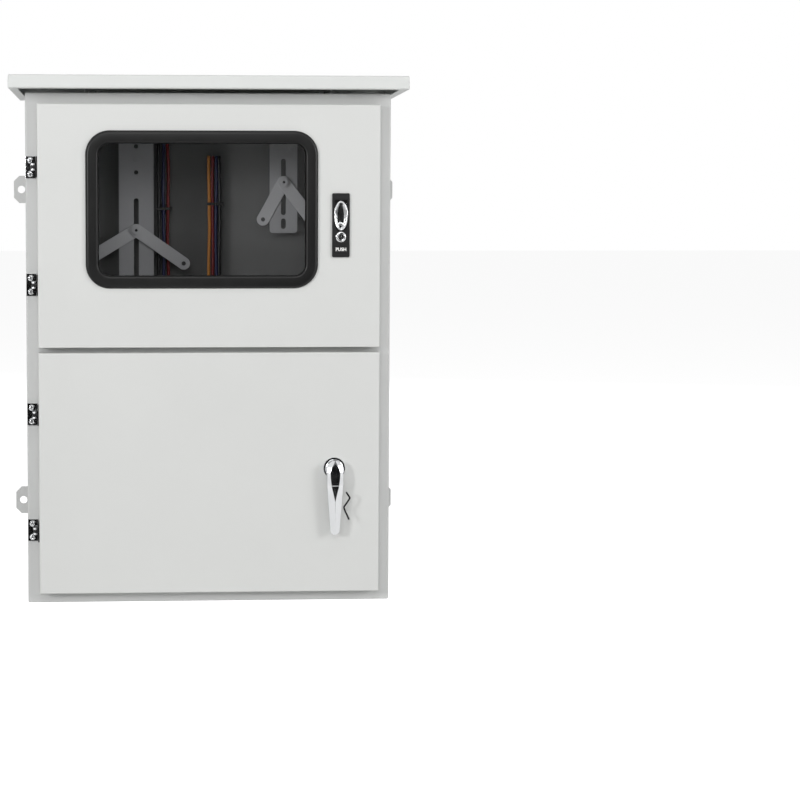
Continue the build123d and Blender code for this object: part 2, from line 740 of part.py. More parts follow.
def left_strip():
    outline = strip_outline(LEFT_STRIP_X, LEFT_STRIP_WIDE, LEFT_STRIP_LOW, STRIP_TOP)
    slot_low = LEFT_STRIP_LOW + LEFT_SLOT_BOTTOM
    outline -= upright_slot(LEFT_STRIP_X, slot_low, STRIP_TOP - LEFT_SLOT_TOP, SLOT_WIDE)
    for drop in LEFT_HOLE_DROPS:
        outline -= Pos(LEFT_STRIP_X, STRIP_TOP - drop) * hole(LEFT_HOLE_RADIUS)
    return slab(outline, STRIP_FACE, STRIP_REAR)


def right_strip():
    outline = strip_outline(RIGHT_STRIP_X, RIGHT_STRIP_WIDE, RIGHT_STRIP_LOW, STRIP_TOP)
    slot_low = RIGHT_STRIP_LOW + RIGHT_SLOT_BOTTOM
    outline -= upright_slot(RIGHT_STRIP_X, slot_low, STRIP_TOP - RIGHT_SLOT_TOP, SLOT_WIDE)
    oblong_low = RIGHT_STRIP_LOW + RIGHT_OBLONG_BOTTOM
    outline -= upright_slot(RIGHT_STRIP_X, oblong_low, oblong_low + RIGHT_OBLONG_TALL, SLOT_WIDE)
    return slab(outline, STRIP_FACE, STRIP_REAR)


def strip_fixings():
    left = [(LEFT_STRIP_X, STRIP_TOP - LEFT_POST_TOP), (LEFT_STRIP_X, LEFT_STRIP_LOW + LEFT_POST_BOTTOM)]
    spread = RIGHT_POST_SPREAD / 2
    return left + [(RIGHT_STRIP_X + side * spread, STRIP_TOP - RIGHT_POST_TOP) for side in (-1, 1)]


def strip_posts():
    return [hexagon(x, z, STRIP_REAR, PANEL_FACE, STRIP_POST_RADIUS) for x, z in strip_fixings()]


def strip_screws():
    front = STRIP_FACE - SCREW_TALL
    return [hexagon(x, z, front, STRIP_FACE, SCREW_RADIUS) for x, z in strip_fixings()]


def pivot_bolt(x, z):
    stack = ARM_PLANES[1] - ARM_THICK
    bolt = peg(x, z, STRIP_REAR, STRIP_REAR + PIVOT_HEAD_TALL, PIVOT_HEAD_RADIUS)
    return bolt + peg(x, z, stack - PIVOT_NUT_TALL, STRIP_REAR, PIVOT_RADIUS)


def pivot_nut(x, z):
    rear = ARM_PLANES[1] - ARM_THICK
    front = rear - PIVOT_NUT_TALL
    return hexagon(x, z, front, rear, PIVOT_NUT_RADIUS) - bore(x, z, front, rear, PIVOT_RADIUS + RUN_FIT)


def arm_bar(start, end):
    """A bar with round ends along X whose end circles sit at start and end."""
    return Pos((start + end) / 2, 0) * SlotCenterToCenter(end - start, ARM_WIDE)


def swing_arm(x, z, angle, plane, long):
    outline = arm_bar(0, long) - hole(PIVOT_RADIUS + RUN_FIT) - Pos(long, 0) * hole(ARM_END_HOLE)
    return slab(Pos(x, z) * Rot(0, 0, angle) * outline, plane - ARM_THICK, plane)


def stepped_arm(x, z, angle, long):
    """An arm that passes behind its neighbour, then steps level with it."""
    place = Pos(x, z) * Rot(0, 0, angle)
    half = ARM_WIDE / 2
    reach = LEFT_ARM_STEP + LEFT_ARM_LAP
    root = Circle(half) + Pos(reach / 2, 0) * Rectangle(reach, ARM_WIDE)
    root -= hole(PIVOT_RADIUS + RUN_FIT)
    bar = Pos((LEFT_ARM_STEP + long) / 2, 0) * Rectangle(long - LEFT_ARM_STEP, ARM_WIDE)
    bar += Pos(long, 0) * Circle(half)
    bar -= Pos(long, 0) * hole(ARM_END_HOLE)
    rear, front = ARM_PLANES
    arm = slab(place * root, rear - ARM_THICK, rear)
    return arm + slab(place * bar, front - ARM_THICK, rear - ARM_THICK)


def divider_shelf():
    low = SHELF_TOP - SHEET
    inner = SIDE - SHEET
    front = FRAME + SHEET
    rear = BACK - SHEET
    shelf = block(-inner, inner, front, rear, low, SHELF_TOP)
    shelf += block(-inner, inner, front, front + SHEET, low - SHELF_FLANGE, low)
    for x, count, pitch in wire_bundles():
        shelf -= upright(grommet_outline(x, count, pitch, GROMMET_WALL), low, SHELF_TOP)
    return shelf


def wire_bundles():
    return (
        (LEFT_WIRES_X, 3, LEFT_WIRES_PITCH),
        (MIDDLE_WIRES_X, 4, MIDDLE_WIRES_PITCH),
    )


def grommet_outline(x, count, pitch, wall):
    grow = 2 * (WIRE_RADIUS + GROMMET_GAP + wall)
    return Pos(x, WIRE_Y) * Rectangle((count - 1) * pitch + grow, grow)


def shelf_grommet(x, count, pitch):
    low = SHELF_TOP - SHEET
    flange = grommet_outline(x, count, pitch, GROMMET_FLANGE + GROMMET_WALL)
    grommet = upright(flange, low - GROMMET_LIP, low)
    grommet += upright(grommet_outline(x, count, pitch, GROMMET_WALL), low, SHELF_TOP)
    grommet += upright(flange, SHELF_TOP, SHELF_TOP + GROMMET_LIP)
    return grommet - upright(grommet_outline(x, count, pitch, 0), low - GROMMET_LIP, SHELF_TOP + GROMMET_LIP)


def pole_x(case_x, pole):
    return case_x + (pole - (POLES - 1) / 2) * POLE_PITCH


def wire_entry_y():
    return RAIL_FACE - WIRE_ENTRY


def wire(index, bundle, drop, case_x):
    x, count, pitch = bundle
    start = x + (index - (count - 1) / 2) * pitch
    end = pole_x(case_x, index)
    elbow = CASE_TOP + WIRE_ELBOW
    points = [
        (start, WIRE_Y, UPPER_PANEL_TOP - drop),
        (start, WIRE_Y, SHELF_TOP - WIRE_BREAK_DROP),
        (end, wire_entry_y(), elbow),
        (end, wire_entry_y(), CASE_TOP - WIRE_SOCKET),
    ]
    return wire_along(Polyline(*points), WIRE_RADIUS)


def cable_tie(bundle, drop):
    """A band round one bundle, with its locking head at the right."""
    x, count, pitch = bundle
    z = UPPER_PANEL_TOP - drop
    span = (count - 1) * pitch
    slack = 2 * (WIRE_RADIUS + TIE_GAP)
    inner = Rectangle(span + slack, slack)
    outer = Rectangle(span + slack + 2 * TIE_THICK, slack + 2 * TIE_THICK)
    band = upright(Pos(x, WIRE_Y) * (outer - inner), z, z + TIE_WIDE)
    edge = x + span / 2 + WIRE_RADIUS + TIE_GAP + TIE_THICK / 2
    half = TIE_HEAD / 2
    middle = z + TIE_WIDE / 2
    return band + block(edge, edge + half, WIRE_Y - half, WIRE_Y + half, middle - half, middle + half)


def tie_saddle(bundle, drop):
    x = bundle[0]
    middle = UPPER_PANEL_TOP - drop + TIE_WIDE / 2
    half = SADDLE_WIDE / 2
    front = WIRE_Y + WIRE_RADIUS + TIE_GAP + TIE_THICK
    return block(x - half, x + half, front, PANEL_FACE, middle - half, middle + half)


def gland_levels():
    gasket_low = FLOOR + SHEET
    plate_low = gasket_low + GLAND_GASKET
    return gasket_low, plate_low, plate_low + GLAND_PLATE


def gland_sheet(z_low, z_high):
    half_wide = GLAND_WINDOW_WIDE / 2 + GLAND_MARGIN
    half_deep = GLAND_WINDOW_DEEP / 2 + GLAND_MARGIN
    middle = BACK - BODY_DEPTH / 2
    return block(-half_wide, half_wide, middle - half_deep, middle + half_deep, z_low, z_high)


def entry_places():
    return [(step * ENTRY_PITCH, BACK - BODY_DEPTH / 2) for step in (-1, 0, 1)]


def gland_plate():
    low, high = gland_levels()[1:]
    plate = gland_sheet(low, high)
    for x, y in entry_places():
        plate -= upright(Pos(x, y) * hole(ENTRY_RADIUS + ENTRY_WALL), low, high)
    return plate


def gland_gasket():
    low, high = gland_levels()[:2]
    return gland_sheet(low, high) - gland_window(low, high)


def gland_screws():
    low = gland_levels()[2]
    reach = (GLAND_WINDOW_WIDE + GLAND_MARGIN) / 2
    depth = (GLAND_WINDOW_DEEP + GLAND_MARGIN) / 2
    middle = BACK - BODY_DEPTH / 2
    places = [(x, middle + side * depth) for x in (-reach, 0, reach) for side in (-1, 1)]
    head = RegularPolygon(SCREW_RADIUS, 6)
    return [upright(Pos(x, y) * head, low, low + SCREW_TALL) for x, y in places]


def cable_grommet(x, y):
    low, high = gland_levels()[1:]
    neck = ENTRY_RADIUS + ENTRY_WALL
    place = Pos(x, y)
    flange = place * hole(neck + ENTRY_FLANGE)
    grommet = upright(flange, low - ENTRY_LOWER, low)
    grommet += upright(place * hole(neck), low, high)
    grommet += upright(flange, high, high + ENTRY_UPPER)
    return grommet - upright(place * Circle(ENTRY_RADIUS), low - ENTRY_LOWER, high + ENTRY_UPPER)


def mounting_rail():
    z = RAIL_Z
    left = RAIL_X - RAIL_LONG / 2
    right = RAIL_X + RAIL_LONG / 2
    channel = RAIL_CHANNEL / 2
    flange = RAIL_TALL / 2
    rail = block(left, right, RAIL_FACE, PANEL_FACE, z - channel, z + channel)
    rail += block(left, right, RAIL_FACE, RAIL_FACE + RAIL_THICK, z - flange, z + flange)
    inner = channel - RAIL_THICK
    return rail - block(left, right, RAIL_FACE, PANEL_FACE - RAIL_THICK, z - inner, z + inner)


def rail_screws():
    rear = PANEL_FACE - RAIL_THICK
    half = RAIL_SCREW_SPREAD / 2
    z = RAIL_Z
    front = rear - SCREW_TALL
    return [hexagon(RAIL_X + side * half, z, front, rear, SCREW_RADIUS) for side in (-1, 1)]


def modular_case(x, nose_deep):
    """A rail-mounted case: a stepped box with wire sockets in its top."""
    z = RAIL_Z
    left = x - CASE_WIDE / 2
    right = x + CASE_WIDE / 2
    face = RAIL_FACE - CASE_DEEP
    case = block(left, right, face, RAIL_FACE, z - CASE_TALL / 2, z + CASE_TALL / 2)
    half = CASE_NOSE_TALL / 2
    case += block(left, right, face - nose_deep, face, z - half, z + half)
    for pole in range(POLES):
        wide = 2 * (WIRE_RADIUS + WIRE_SOCKET_GAP)
        socket = Pos(pole_x(x, pole), wire_entry_y()) * Rectangle(wide, wide)
        case -= upright(socket, CASE_TOP - WIRE_SOCKET, CASE_TOP)
    return case


def toggle_axis_y():
    return RAIL_FACE - CASE_DEEP - CASE_NOSE_DEEP + TOGGLE_SET


def toggle_drum(x, wide, section):
    return extrude(Plane.YZ.offset(x - wide / 2) * (Pos(toggle_axis_y(), RAIL_Z) * section), wide)


def switch_case(x):
    cavity = toggle_drum(x, TOGGLE_WIDE + 2 * TOGGLE_GAP, hole(TOGGLE_RADIUS + TOGGLE_GAP))
    return modular_case(x, CASE_NOSE_DEEP) - cavity


def switch_toggle(x):
    """A drum with a tied grip bar, drawn up in the on position."""
    drum = toggle_drum(x, TOGGLE_WIDE, Circle(TOGGLE_RADIUS))
    grip = Pos(0, -TOGGLE_GRIP_LONG / 2, 0) * Box(TOGGLE_GRIP_WIDE, TOGGLE_GRIP_LONG, TOGGLE_GRIP_THICK)
    return drum + Pos(x, toggle_axis_y(), RAIL_Z) * Rot(-TOGGLE_ANGLE, 0, 0) * grip


def surge_modules():
    z = RAIL_Z
    half = CASE_NOSE_TALL / 2
    rear = RAIL_FACE - CASE_DEEP - SURGE_BASE_NOSE
    wide = POLE_PITCH - SURGE_MODULE_GAP
    front = rear - SURGE_MODULE_DEEP
    middles = [pole_x(SURGE_X, pole) for pole in range(POLES)]
    return [block(x - wide / 2, x + wide / 2, front, rear, z - half, z + half) for x in middles]


def terminal_bar(x):
    z = BAR_Z
    rear = PANEL_FACE - BAR_STANDOFF
    half = BAR_LONG / 2
    return block(x - half, x + half, rear - BAR_THICK, rear, z - BAR_TALL / 2, z + BAR_TALL / 2)


def bar_posts(x):
    half = BAR_POST_SPREAD / 2
    rear = PANEL_FACE - BAR_STANDOFF
    return [hexagon(x + side * half, BAR_Z, rear, PANEL_FACE, BAR_POST_RADIUS) for side in (-1, 1)]


def bar_screws(x):
    rear = PANEL_FACE - BAR_STANDOFF - BAR_THICK
    front = rear - SCREW_TALL
    places = [x + (i - (BAR_SCREWS - 1) / 2) * BAR_SCREW_PITCH for i in range(BAR_SCREWS)]
    return [hexagon(place, BAR_Z, front, rear, SCREW_RADIUS) for place in places]


def save_cabinet():
    save("cabinet_shell", cabinet_shell())
    ear_heights = (-EAR_HOLE_RISE / 2, EAR_HOLE_RISE / 2)
    save("wall_ears", *[wall_ear(side, z) for side in (-1, 1) for z in ear_heights])
    save("rain_hood", rain_hood())
    save("hood_brackets", hood_bracket(-1), hood_bracket(1))
    save("hood_bolts", *hood_bolts())
    save("divider_shelf", divider_shelf())
    save("shelf_grommets", *[shelf_grommet(*bundle) for bundle in wire_bundles()])
    save("gland_plate", gland_plate())
    save("gland_gasket", gland_gasket())
    save("cable_grommets", *[cable_grommet(x, y) for x, y in entry_places()])


def save_doors():
    lower = door_tray(LOWER_DOOR_LOW)
    lower -= bore(LEVER_X, LEVER_Z, DOOR_FACE, DOOR_SKIN, SHANK_RADIUS + RUN_FIT)
    upper = door_tray(UPPER_DOOR_LOW)
    upper -= slab(window_outline(SEAL_OVERLAP), DOOR_FACE, DOOR_SKIN)
    upper -= slab(lock_body_outline(BUTTON_GAP), DOOR_FACE, DOOR_SKIN)
    save("lower_door_panel", lower)
    save("upper_door_panel", upper)
    save("lower_door_gasket", door_gasket(LOWER_DOOR_LOW))
    save("upper_door_gasket", door_gasket(UPPER_DOOR_LOW))
    save("window_seal", window_seal())
    save("window_pane", window_pane())
    lows = hinge_heights(LOWER_DOOR_LOW)
    highs = hinge_heights(UPPER_DOOR_LOW)
    save("lower_hinge_leaves", *[hinge_door_leaf(z) for z in lows])
    save("upper_hinge_leaves", *[hinge_door_leaf(z) for z in highs])
    save("hinge_frame_leaves", *[hinge_frame_leaf(z) for z in lows + highs])
    save("hinge_pins", *[hinge_pin(z) for z in lows + highs])
    save("hinge_screws", *[screw for z in lows + highs for screw in hinge_screws(z)])


def save_locks():
    cylinder_z = lock_z(CYLINDER_DROP)
    save("flush_lock_case", flush_lock_case())
    save("lock_paddle", lock_paddle())
    save("paddle_pin", paddle_pin(PADDLE_WIDE / 2 + LOCK_RIM / 2 - RUN_FIT, Circle(PADDLE_PIN_RADIUS)))
    save("lock_cylinder", lock_cylinder())
    save("lock_cam", cam(LOCK_X, cylinder_z, -1), cam_nut(LOCK_X, cylinder_z))
    save("lock_button", lock_button())
    save("handle_rose", handle_rose())
    save("rose_nut", rose_nut())
    save("lever_handle", lever_handle())
    save("lever_cam", cam(LEVER_X, LEVER_Z, 1), cam_nut(LEVER_X, LEVER_Z))
    save("tie_wire", tie_wire())


def save_meter_chamber():
    lower, upper = CHAMBER_MIDDLES
    save("mounting_panels", mounting_panel(lower), mounting_panel(upper))
    save("panel_posts", *panel_posts(lower), *panel_posts(upper))
    save("panel_nuts", *panel_nuts(lower), *panel_nuts(upper))
    save("left_strip", left_strip())
    save("right_strip", right_strip())
    save("strip_posts", *strip_posts())
    left = (LEFT_STRIP_X, LEFT_PIVOT_Z)
    right = (RIGHT_STRIP_X, RIGHT_PIVOT_Z)
    save("left_pivot_bolt", pivot_bolt(*left), pivot_nut(*left))
    save("right_pivot_bolt", pivot_bolt(*right), pivot_nut(*right))
    save("left_rear_arm", stepped_arm(*left, LEFT_PAIR_ANGLES[0], LEFT_ARM_LONG))
    save("left_front_arm", swing_arm(*left, LEFT_PAIR_ANGLES[1], ARM_PLANES[1], LEFT_ARM_LONG))
    save("right_rear_arm", swing_arm(*right, RIGHT_PAIR_ANGLES[0], ARM_PLANES[0], RIGHT_ARM_LONG))
    save("right_front_arm", swing_arm(*right, RIGHT_PAIR_ANGLES[1], ARM_PLANES[1], RIGHT_ARM_LONG))


def save_wires():
    left, middle = wire_bundles()
    tail = [wire(i, left, LEFT_WIRES_DROP, ISOLATOR_X) for i in range(left[1])]
    lead = [wire(i, middle, MIDDLE_WIRES_DROP, BREAKER_X) for i in range(middle[1])]
    save("yellow_wire", lead[0])
    save("red_wires", tail[2], lead[1])
    save("blue_wires", tail[1], lead[2])
    save("black_wires", tail[0], lead[3])
    save("cable_ties", cable_tie(left, LEFT_TIE_DROP), cable_tie(middle, MIDDLE_TIE_DROP))
    save("tie_saddles", tie_saddle(left, LEFT_TIE_DROP), tie_saddle(middle, MIDDLE_TIE_DROP))


def save_switchgear():
    save("mounting_rail", mounting_rail())
    save("switch_cases", switch_case(ISOLATOR_X), switch_case(BREAKER_X))
    save("isolator_toggle", switch_toggle(ISOLATOR_X))
    save("breaker_toggle", switch_toggle(BREAKER_X))
    save("surge_base", modular_case(SURGE_X, SURGE_BASE_NOSE))
    save("surge_modules", *surge_modules())
    save("terminal_bars", terminal_bar(-BAR_SPREAD), terminal_bar(BAR_SPREAD))
    save("bar_posts", *bar_posts(-BAR_SPREAD), *bar_posts(BAR_SPREAD))
    bars = bar_screws(-BAR_SPREAD) + bar_screws(BAR_SPREAD)
    save("hex_screws", *gland_screws(), *strip_screws(), *rail_screws(), *bars)


os.makedirs("parts", exist_ok=True)
save_cabinet()
save_doors()
save_locks()
save_meter_chamber()
save_wires()
save_switchgear()
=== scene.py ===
import json
import math

import bmesh
import bpy
import numpy as np
from mathutils import Matrix, Vector


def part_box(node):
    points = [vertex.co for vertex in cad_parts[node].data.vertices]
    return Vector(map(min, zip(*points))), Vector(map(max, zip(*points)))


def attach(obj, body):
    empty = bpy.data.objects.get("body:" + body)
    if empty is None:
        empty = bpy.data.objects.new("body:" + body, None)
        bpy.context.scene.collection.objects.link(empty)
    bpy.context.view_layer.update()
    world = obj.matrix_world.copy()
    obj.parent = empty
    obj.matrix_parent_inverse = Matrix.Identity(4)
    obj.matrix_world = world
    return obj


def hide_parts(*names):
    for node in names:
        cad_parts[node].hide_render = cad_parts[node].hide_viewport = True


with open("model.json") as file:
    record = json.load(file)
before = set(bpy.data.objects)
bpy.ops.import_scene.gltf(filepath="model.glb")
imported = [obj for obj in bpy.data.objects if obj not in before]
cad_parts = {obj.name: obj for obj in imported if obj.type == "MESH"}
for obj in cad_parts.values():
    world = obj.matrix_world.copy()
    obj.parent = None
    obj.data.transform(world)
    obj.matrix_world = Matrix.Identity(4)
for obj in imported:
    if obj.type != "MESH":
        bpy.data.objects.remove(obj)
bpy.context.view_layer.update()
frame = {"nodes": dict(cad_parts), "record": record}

# Cabinet shell
# Mild steel sheet, 1.5 mm, folded into a box with a front frame, two openings with rain lips and a middle
# rail, welded at the corners and powder-coated pale grey all over. Its bends have a radius of about 2 mm.

MM = 0.001


class Tone:
    """A value in a material's nodes. Arithmetic on it adds Math nodes."""

    def __init__(self, tree, socket=None):
        self.tree = tree
        self.socket = socket

    def node(self, kind, settings=(), sockets=(), output=0):
        """Adds a node of any type: its settings come first, then the values or links of its sockets."""
        made = self.tree.nodes.new("ShaderNode" + kind)
        for name, value in dict(settings).items():
            setattr(made, name, value)
        for name, value in dict(sockets).items():
            if isinstance(value, Tone):
                self.tree.links.new(value.socket, made.inputs[name])
            else:
                made.inputs[name].default_value = value
        return Tone(self.tree, made.outputs[output])

    def math(self, operation, first, second):
        return self.node("Math", {"operation": operation}, {0: first, 1: second})

    def __add__(self, other):
        return self.math("ADD", self, other)

    def __sub__(self, other):
        return self.math("SUBTRACT", self, other)

    def __rsub__(self, other):
        return self.math("SUBTRACT", other, self)

    def __mul__(self, other):
        return self.math("MULTIPLY", self, other)

    def __gt__(self, other):
        return self.math("GREATER_THAN", self, other)

    def __lt__(self, other):
        return self.math("LESS_THAN", self, other)

    __radd__ = __add__
    __rmul__ = __mul__


def screen(*levels):
    """Screen levels from 0 to 255 as a linear colour."""
    level = np.array(levels) / 255
    linear = np.where(level <= 0.04045, level / 12.92, ((level + 0.055) / 1.055) ** 2.4)
    return tuple(float(value) for value in linear)


def new_finish(name, **fixed):
    """A material with the fixed values of its shader set, and its Object coordinates."""
    finish = bpy.data.materials.new(name)
    finish.use_nodes = True
    shader = finish.node_tree.nodes["Principled BSDF"]
    for socket, value in fixed.items():
        shader.inputs[socket.replace("_", " ")].default_value = value
    return finish, Tone(finish.node_tree).node("TexCoord", output="Object")


def feed(finish, **tones):
    """Links values that change over the surface to the shader's sockets."""
    shader = finish.node_tree.nodes["Principled BSDF"]
    for socket, tone in tones.items():
        finish.node_tree.links.new(tone.socket, shader.inputs[socket.replace("_", " ")])


def noise(place, scale, detail=2):
    """Soft noise from 0 to 1, with scale grains to the metre."""
    return place.node("TexNoise", (), {"Vector": place, "Scale": scale, "Detail": detail})


def between(factor, first, second):
    """The colour that lies factor of the way from the first to the second."""
    sockets = {0: factor, 6: (*first, 1), 7: (*second, 1)}
    return factor.node("Mix", {"data_type": "RGBA"}, sockets, output=2)


def relief(height, depth):
    """A surface roughened by a height of 0 to 1 that stands for depth in metres."""
    return height.node("Bump", (), {"Distance": depth, "Height": height})


def powder_coat(name, colour):
    """Baked powder: an even colour with a faint cloudiness, and the fine orange peel of the melted film."""
    finish, place = new_finish(name, Specular_IOR_Level=0.4)
    cloud = noise(place, 9, detail=3)
    film = noise(place, 650, detail=1)
    darker = tuple(value * 0.965 for value in colour)
    feed(
        finish,
        Base_Color=between(cloud, darker, colour),
        Roughness=0.36 + 0.12 * cloud,
        Normal=relief(film, 0.02 * MM),
    )
    return finish


def add_piece(name, mesh, finish, body, slot, *nodes):
    """Puts a mesh in the scene: its finish, the body it rides on and the solids it stands for. The slot is
    not used.
    """
    piece = bpy.data.objects.new(name, mesh)
    bpy.context.scene.collection.objects.link(piece)
    mesh.materials.append(finish)
    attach(piece, body)
    if nodes:
        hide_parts(*nodes)
    return piece


def body_of(node):
    """The body that a solid belongs to."""
    bodies = frame["record"]["behaviour"]["bodies"]
    return next(body for body, members in bodies.items() if node in members)


def slot_of(node):
    """The material slot of a solid."""
    subparts = frame["record"]["subparts"]
    return next(part["material_slot"] for part in subparts if part["node"] == node)


def roll(piece, width, segments, **settings):
    """Rounds a piece's sharp edges."""
    bevel = piece.modifiers.new("roll", "BEVEL")
    bevel.width = width
    bevel.segments = segments
    for name, value in settings.items():
        setattr(bevel, name, value)


def soften(node, finish, edge, bend=0.0, corners=None):
    """A copy of a solid with rounded edges: its facets are joined, and only those of curved walls are shaded
    smooth. The edges between the corners that corners(x, y, z) picks get the bend radius, and every other
    sharp edge gets the edge radius."""
    sharp = 40
    mesh = frame["nodes"][node].data.copy()
    mesh.materials.clear()
    work = bmesh.new()
    work.from_mesh(mesh)
    bmesh.ops.remove_doubles(work, verts=work.verts, dist=0.002 * MM)
    bmesh.ops.dissolve_limit(work, angle_limit=math.radians(1), verts=work.verts, edges=work.edges)
    for face in work.faces:
        turns = [side.calc_face_angle(0) for side in face.edges]
        face.smooth = any(math.radians(2) < turn < math.radians(sharp) for turn in turns)
    work.to_mesh(mesh)
    work.free()
    if "sharp_edge" in mesh.attributes:
        mesh.attributes.remove(mesh.attributes["sharp_edge"])
    piece = add_piece(node + "_dressed", mesh, finish, body_of(node), slot_of(node), node)
    if corners:
        co = np.zeros(3 * len(mesh.vertices))
        mesh.vertices.foreach_get("co", co)
        picked = np.flatnonzero(corners(*co.reshape(-1, 3).T))
        piece.vertex_groups.new(name="bends").add(picked.tolist(), 1.0, "REPLACE")
        roll(piece, bend, 3, limit_method="VGROUP", vertex_group="bends")
    roll(piece, edge, 2, limit_method="ANGLE", angle_limit=math.radians(sharp))
    return piece


def near(values, *targets):
    """True where a value lies on one of the targets."""
    return np.min([np.abs(values - target) for target in targets], axis=0) < 0.05 * MM


shell_low, shell_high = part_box("cabinet_shell")
# The same powder coat as the doors, drawn darker: painted shade for the frame, which sits back beside the
# doors and under the hood. The ears and hood brackets use it too.
painted_shade_body_grey = powder_coat("painted_shade_body_coat", screen(210, 211, 210))
soften(
    "cabinet_shell", painted_shade_body_grey, 0.5 * MM, 2 * MM,
    lambda x, y, z: near(x, shell_low.x, shell_high.x) & near(z, shell_low.z, shell_high.z),
)

# Wall ears
# Four flat steel lugs with clipped corners and a bolt hole, welded to the back of the box and coated
# with it.

soften("wall_ears", painted_shade_body_grey, 0.6 * MM)

# Rain hood
# One sheet folded into a shallow tray with a sloping roof, a front lip and a return flange underneath. It
# stands on two angle brackets, which are held to the roof of the box by hexagon bolts.

hood_low, hood_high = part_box("rain_hood")
# The same powder coat, drawn lighter than on the doors: painted light for the lip, which catches more of the
# light from above.
painted_light_hood_grey = powder_coat("painted_light_hood_coat", screen(222, 224, 222))
soften(
    "rain_hood", painted_light_hood_grey, 0.5 * MM, 2 * MM,
    lambda x, y, z: near(x, hood_low.x, hood_high.x) & (near(y, hood_low.y) | (z > hood_low.z + 1 * MM)),
)
soften("hood_brackets", painted_shade_body_grey, 0.4 * MM)


def zinc_plate(name, colour, spangle):
    """Zinc on steel: grains of slightly different grey and sheen, spangle grains to the metre."""
    finish, place = new_finish(name, Metallic=0.9)
    grain = place.node("TexVoronoi", (), {"Vector": place, "Scale": spangle}, output="Color")
    tint = place.node("SeparateColor", (), {"Color": grain})
    scuff = noise(place, 60, detail=4)
    dull = tuple(value * 0.8 for value in colour)
    feed(finish, Base_Color=between(tint, dull, colour), Roughness=0.28 + 0.1 * tint + 0.12 * scuff)
    return finish


zinc = zinc_plate("zinc_plated", screen(176, 178, 180), 700)
soften("hood_bolts", zinc, 0.4 * MM)

# Mounting panels
# Two flat plates of dark grey coated sheet, one in each chamber, held off the back of the box by hexagon
# posts and clamped by a nut at each corner.


def satin_coat(name, colour, streak=0.06):
    """A thin satin paint on sheet: faint upright roller streaks and a soft sheen."""
    finish, place = new_finish(name, Specular_IOR_Level=0.35)
    stretched = place.node("Mapping", (), {"Vector": place, "Scale": (60, 60, 3)})
    lines = noise(stretched, 1, detail=3)
    film = noise(place, 900, detail=1)
    darker = tuple(value * (1 - 2 * streak) for value in colour)
    feed(
        finish,
        Base_Color=between(lines, darker, colour),
        Roughness=0.42 + 0.15 * lines,
        Normal=relief(film, 0.01 * MM),
    )
    return finish


def coat(node, finish):
    """Gives a finish to a solid that is shown as it is."""
    materials = frame["nodes"][node].data.materials
    materials.clear()
    materials.append(finish)


panel_grey = satin_coat("panel_coat", screen(108, 109, 109))
soften("mounting_panels", panel_grey, 0.5 * MM)
coat("panel_posts", zinc)

# Meter strips
# Two flat bars with slots and holes, punched from mid grey coated steel. They stand off the upper panel on
# hexagon posts, held by hexagon screws, and the meter hangs from the arms that slide in them.

strip_grey = satin_coat("strip_coat", screen(176, 177, 180), streak=0.04)
punched_edge = 0.35 * MM
for strip in ("left_strip", "right_strip"):
    soften(strip, strip_grey, punched_edge)
coat("strip_posts", zinc)

# Swing arms
# Four flat bars with round ends, in pairs, each pair clamped by one bolt and nut that slides in its strip.
# The arms of a pair turn on the bolt, and the meter is screwed to their free ends.


def skin(points, smooth=True, crease=None):
    """A closed mesh over grids of points, indexed as grid, row, column. Columns run round each grid, so the
    last joins the first, and a row whose points fall together closes an end. Edges that turn by more than the
    crease, in degrees, stay sharp."""
    grids, rows, columns = points.shape[:3]
    row, column = np.meshgrid(np.arange(rows - 1), np.arange(columns), indexing="ij")
    here = row * columns
    above = here + columns
    after = (column + 1) % columns
    quads = np.stack([here + column, here + after, above + after, above + column], -1).reshape(-1, 4)
    faces = (quads[None] + (np.arange(grids) * rows * columns)[:, None, None]).reshape(-1, 4)
    mesh = bpy.data.meshes.new("skin")
    mesh.from_pydata(points.reshape(-1, 3).tolist(), [], faces.tolist())
    work = bmesh.new()
    work.from_mesh(mesh)
    bmesh.ops.remove_doubles(work, verts=work.verts, dist=0.001 * MM)
    bmesh.ops.recalc_face_normals(work, faces=work.faces)
    work.to_mesh(mesh)
    work.free()
    mesh.polygons.foreach_set("use_smooth", np.full(len(mesh.polygons), smooth))
    if crease:
        mesh.set_sharp_from_angle(angle=math.radians(crease))
    return mesh


def facing(places, across, up, out):
    """Grids of points on a front surface: across and up are offsets from each place, and out stands
    towards -Y."""
    offsets = np.stack(np.broadcast_arrays(across, -out, up), -1)
    return np.asarray(places)[:, None, None, :] + offsets[None]


def ring(count):
    """The cosine and the sine of count turns, evenly spaced round a circle."""
    turn = np.arange(count) * math.tau / count
    return np.cos(turn), np.sin(turn)


def middle_of(low, high):
    """The middle of a box."""
    return (low.x + high.x) / 2, (low.y + high.y) / 2, (low.z + high.z) / 2


def disc(radius, tall):
    """A round plate: its rows run from the middle of the rear over the rim to the middle of the front."""
    cosine, sine = ring(40)
    reach = radius * np.array([[0], [1], [1], [0]])
    return reach * cosine, reach * sine, tall * np.array([[0], [0], [1], [1]])


arm_grey = satin_coat("arm_coat", screen(200, 201, 204), streak=0.03)
dark_steel = zinc_plate("dark_steel", screen(40, 40, 41), 900)
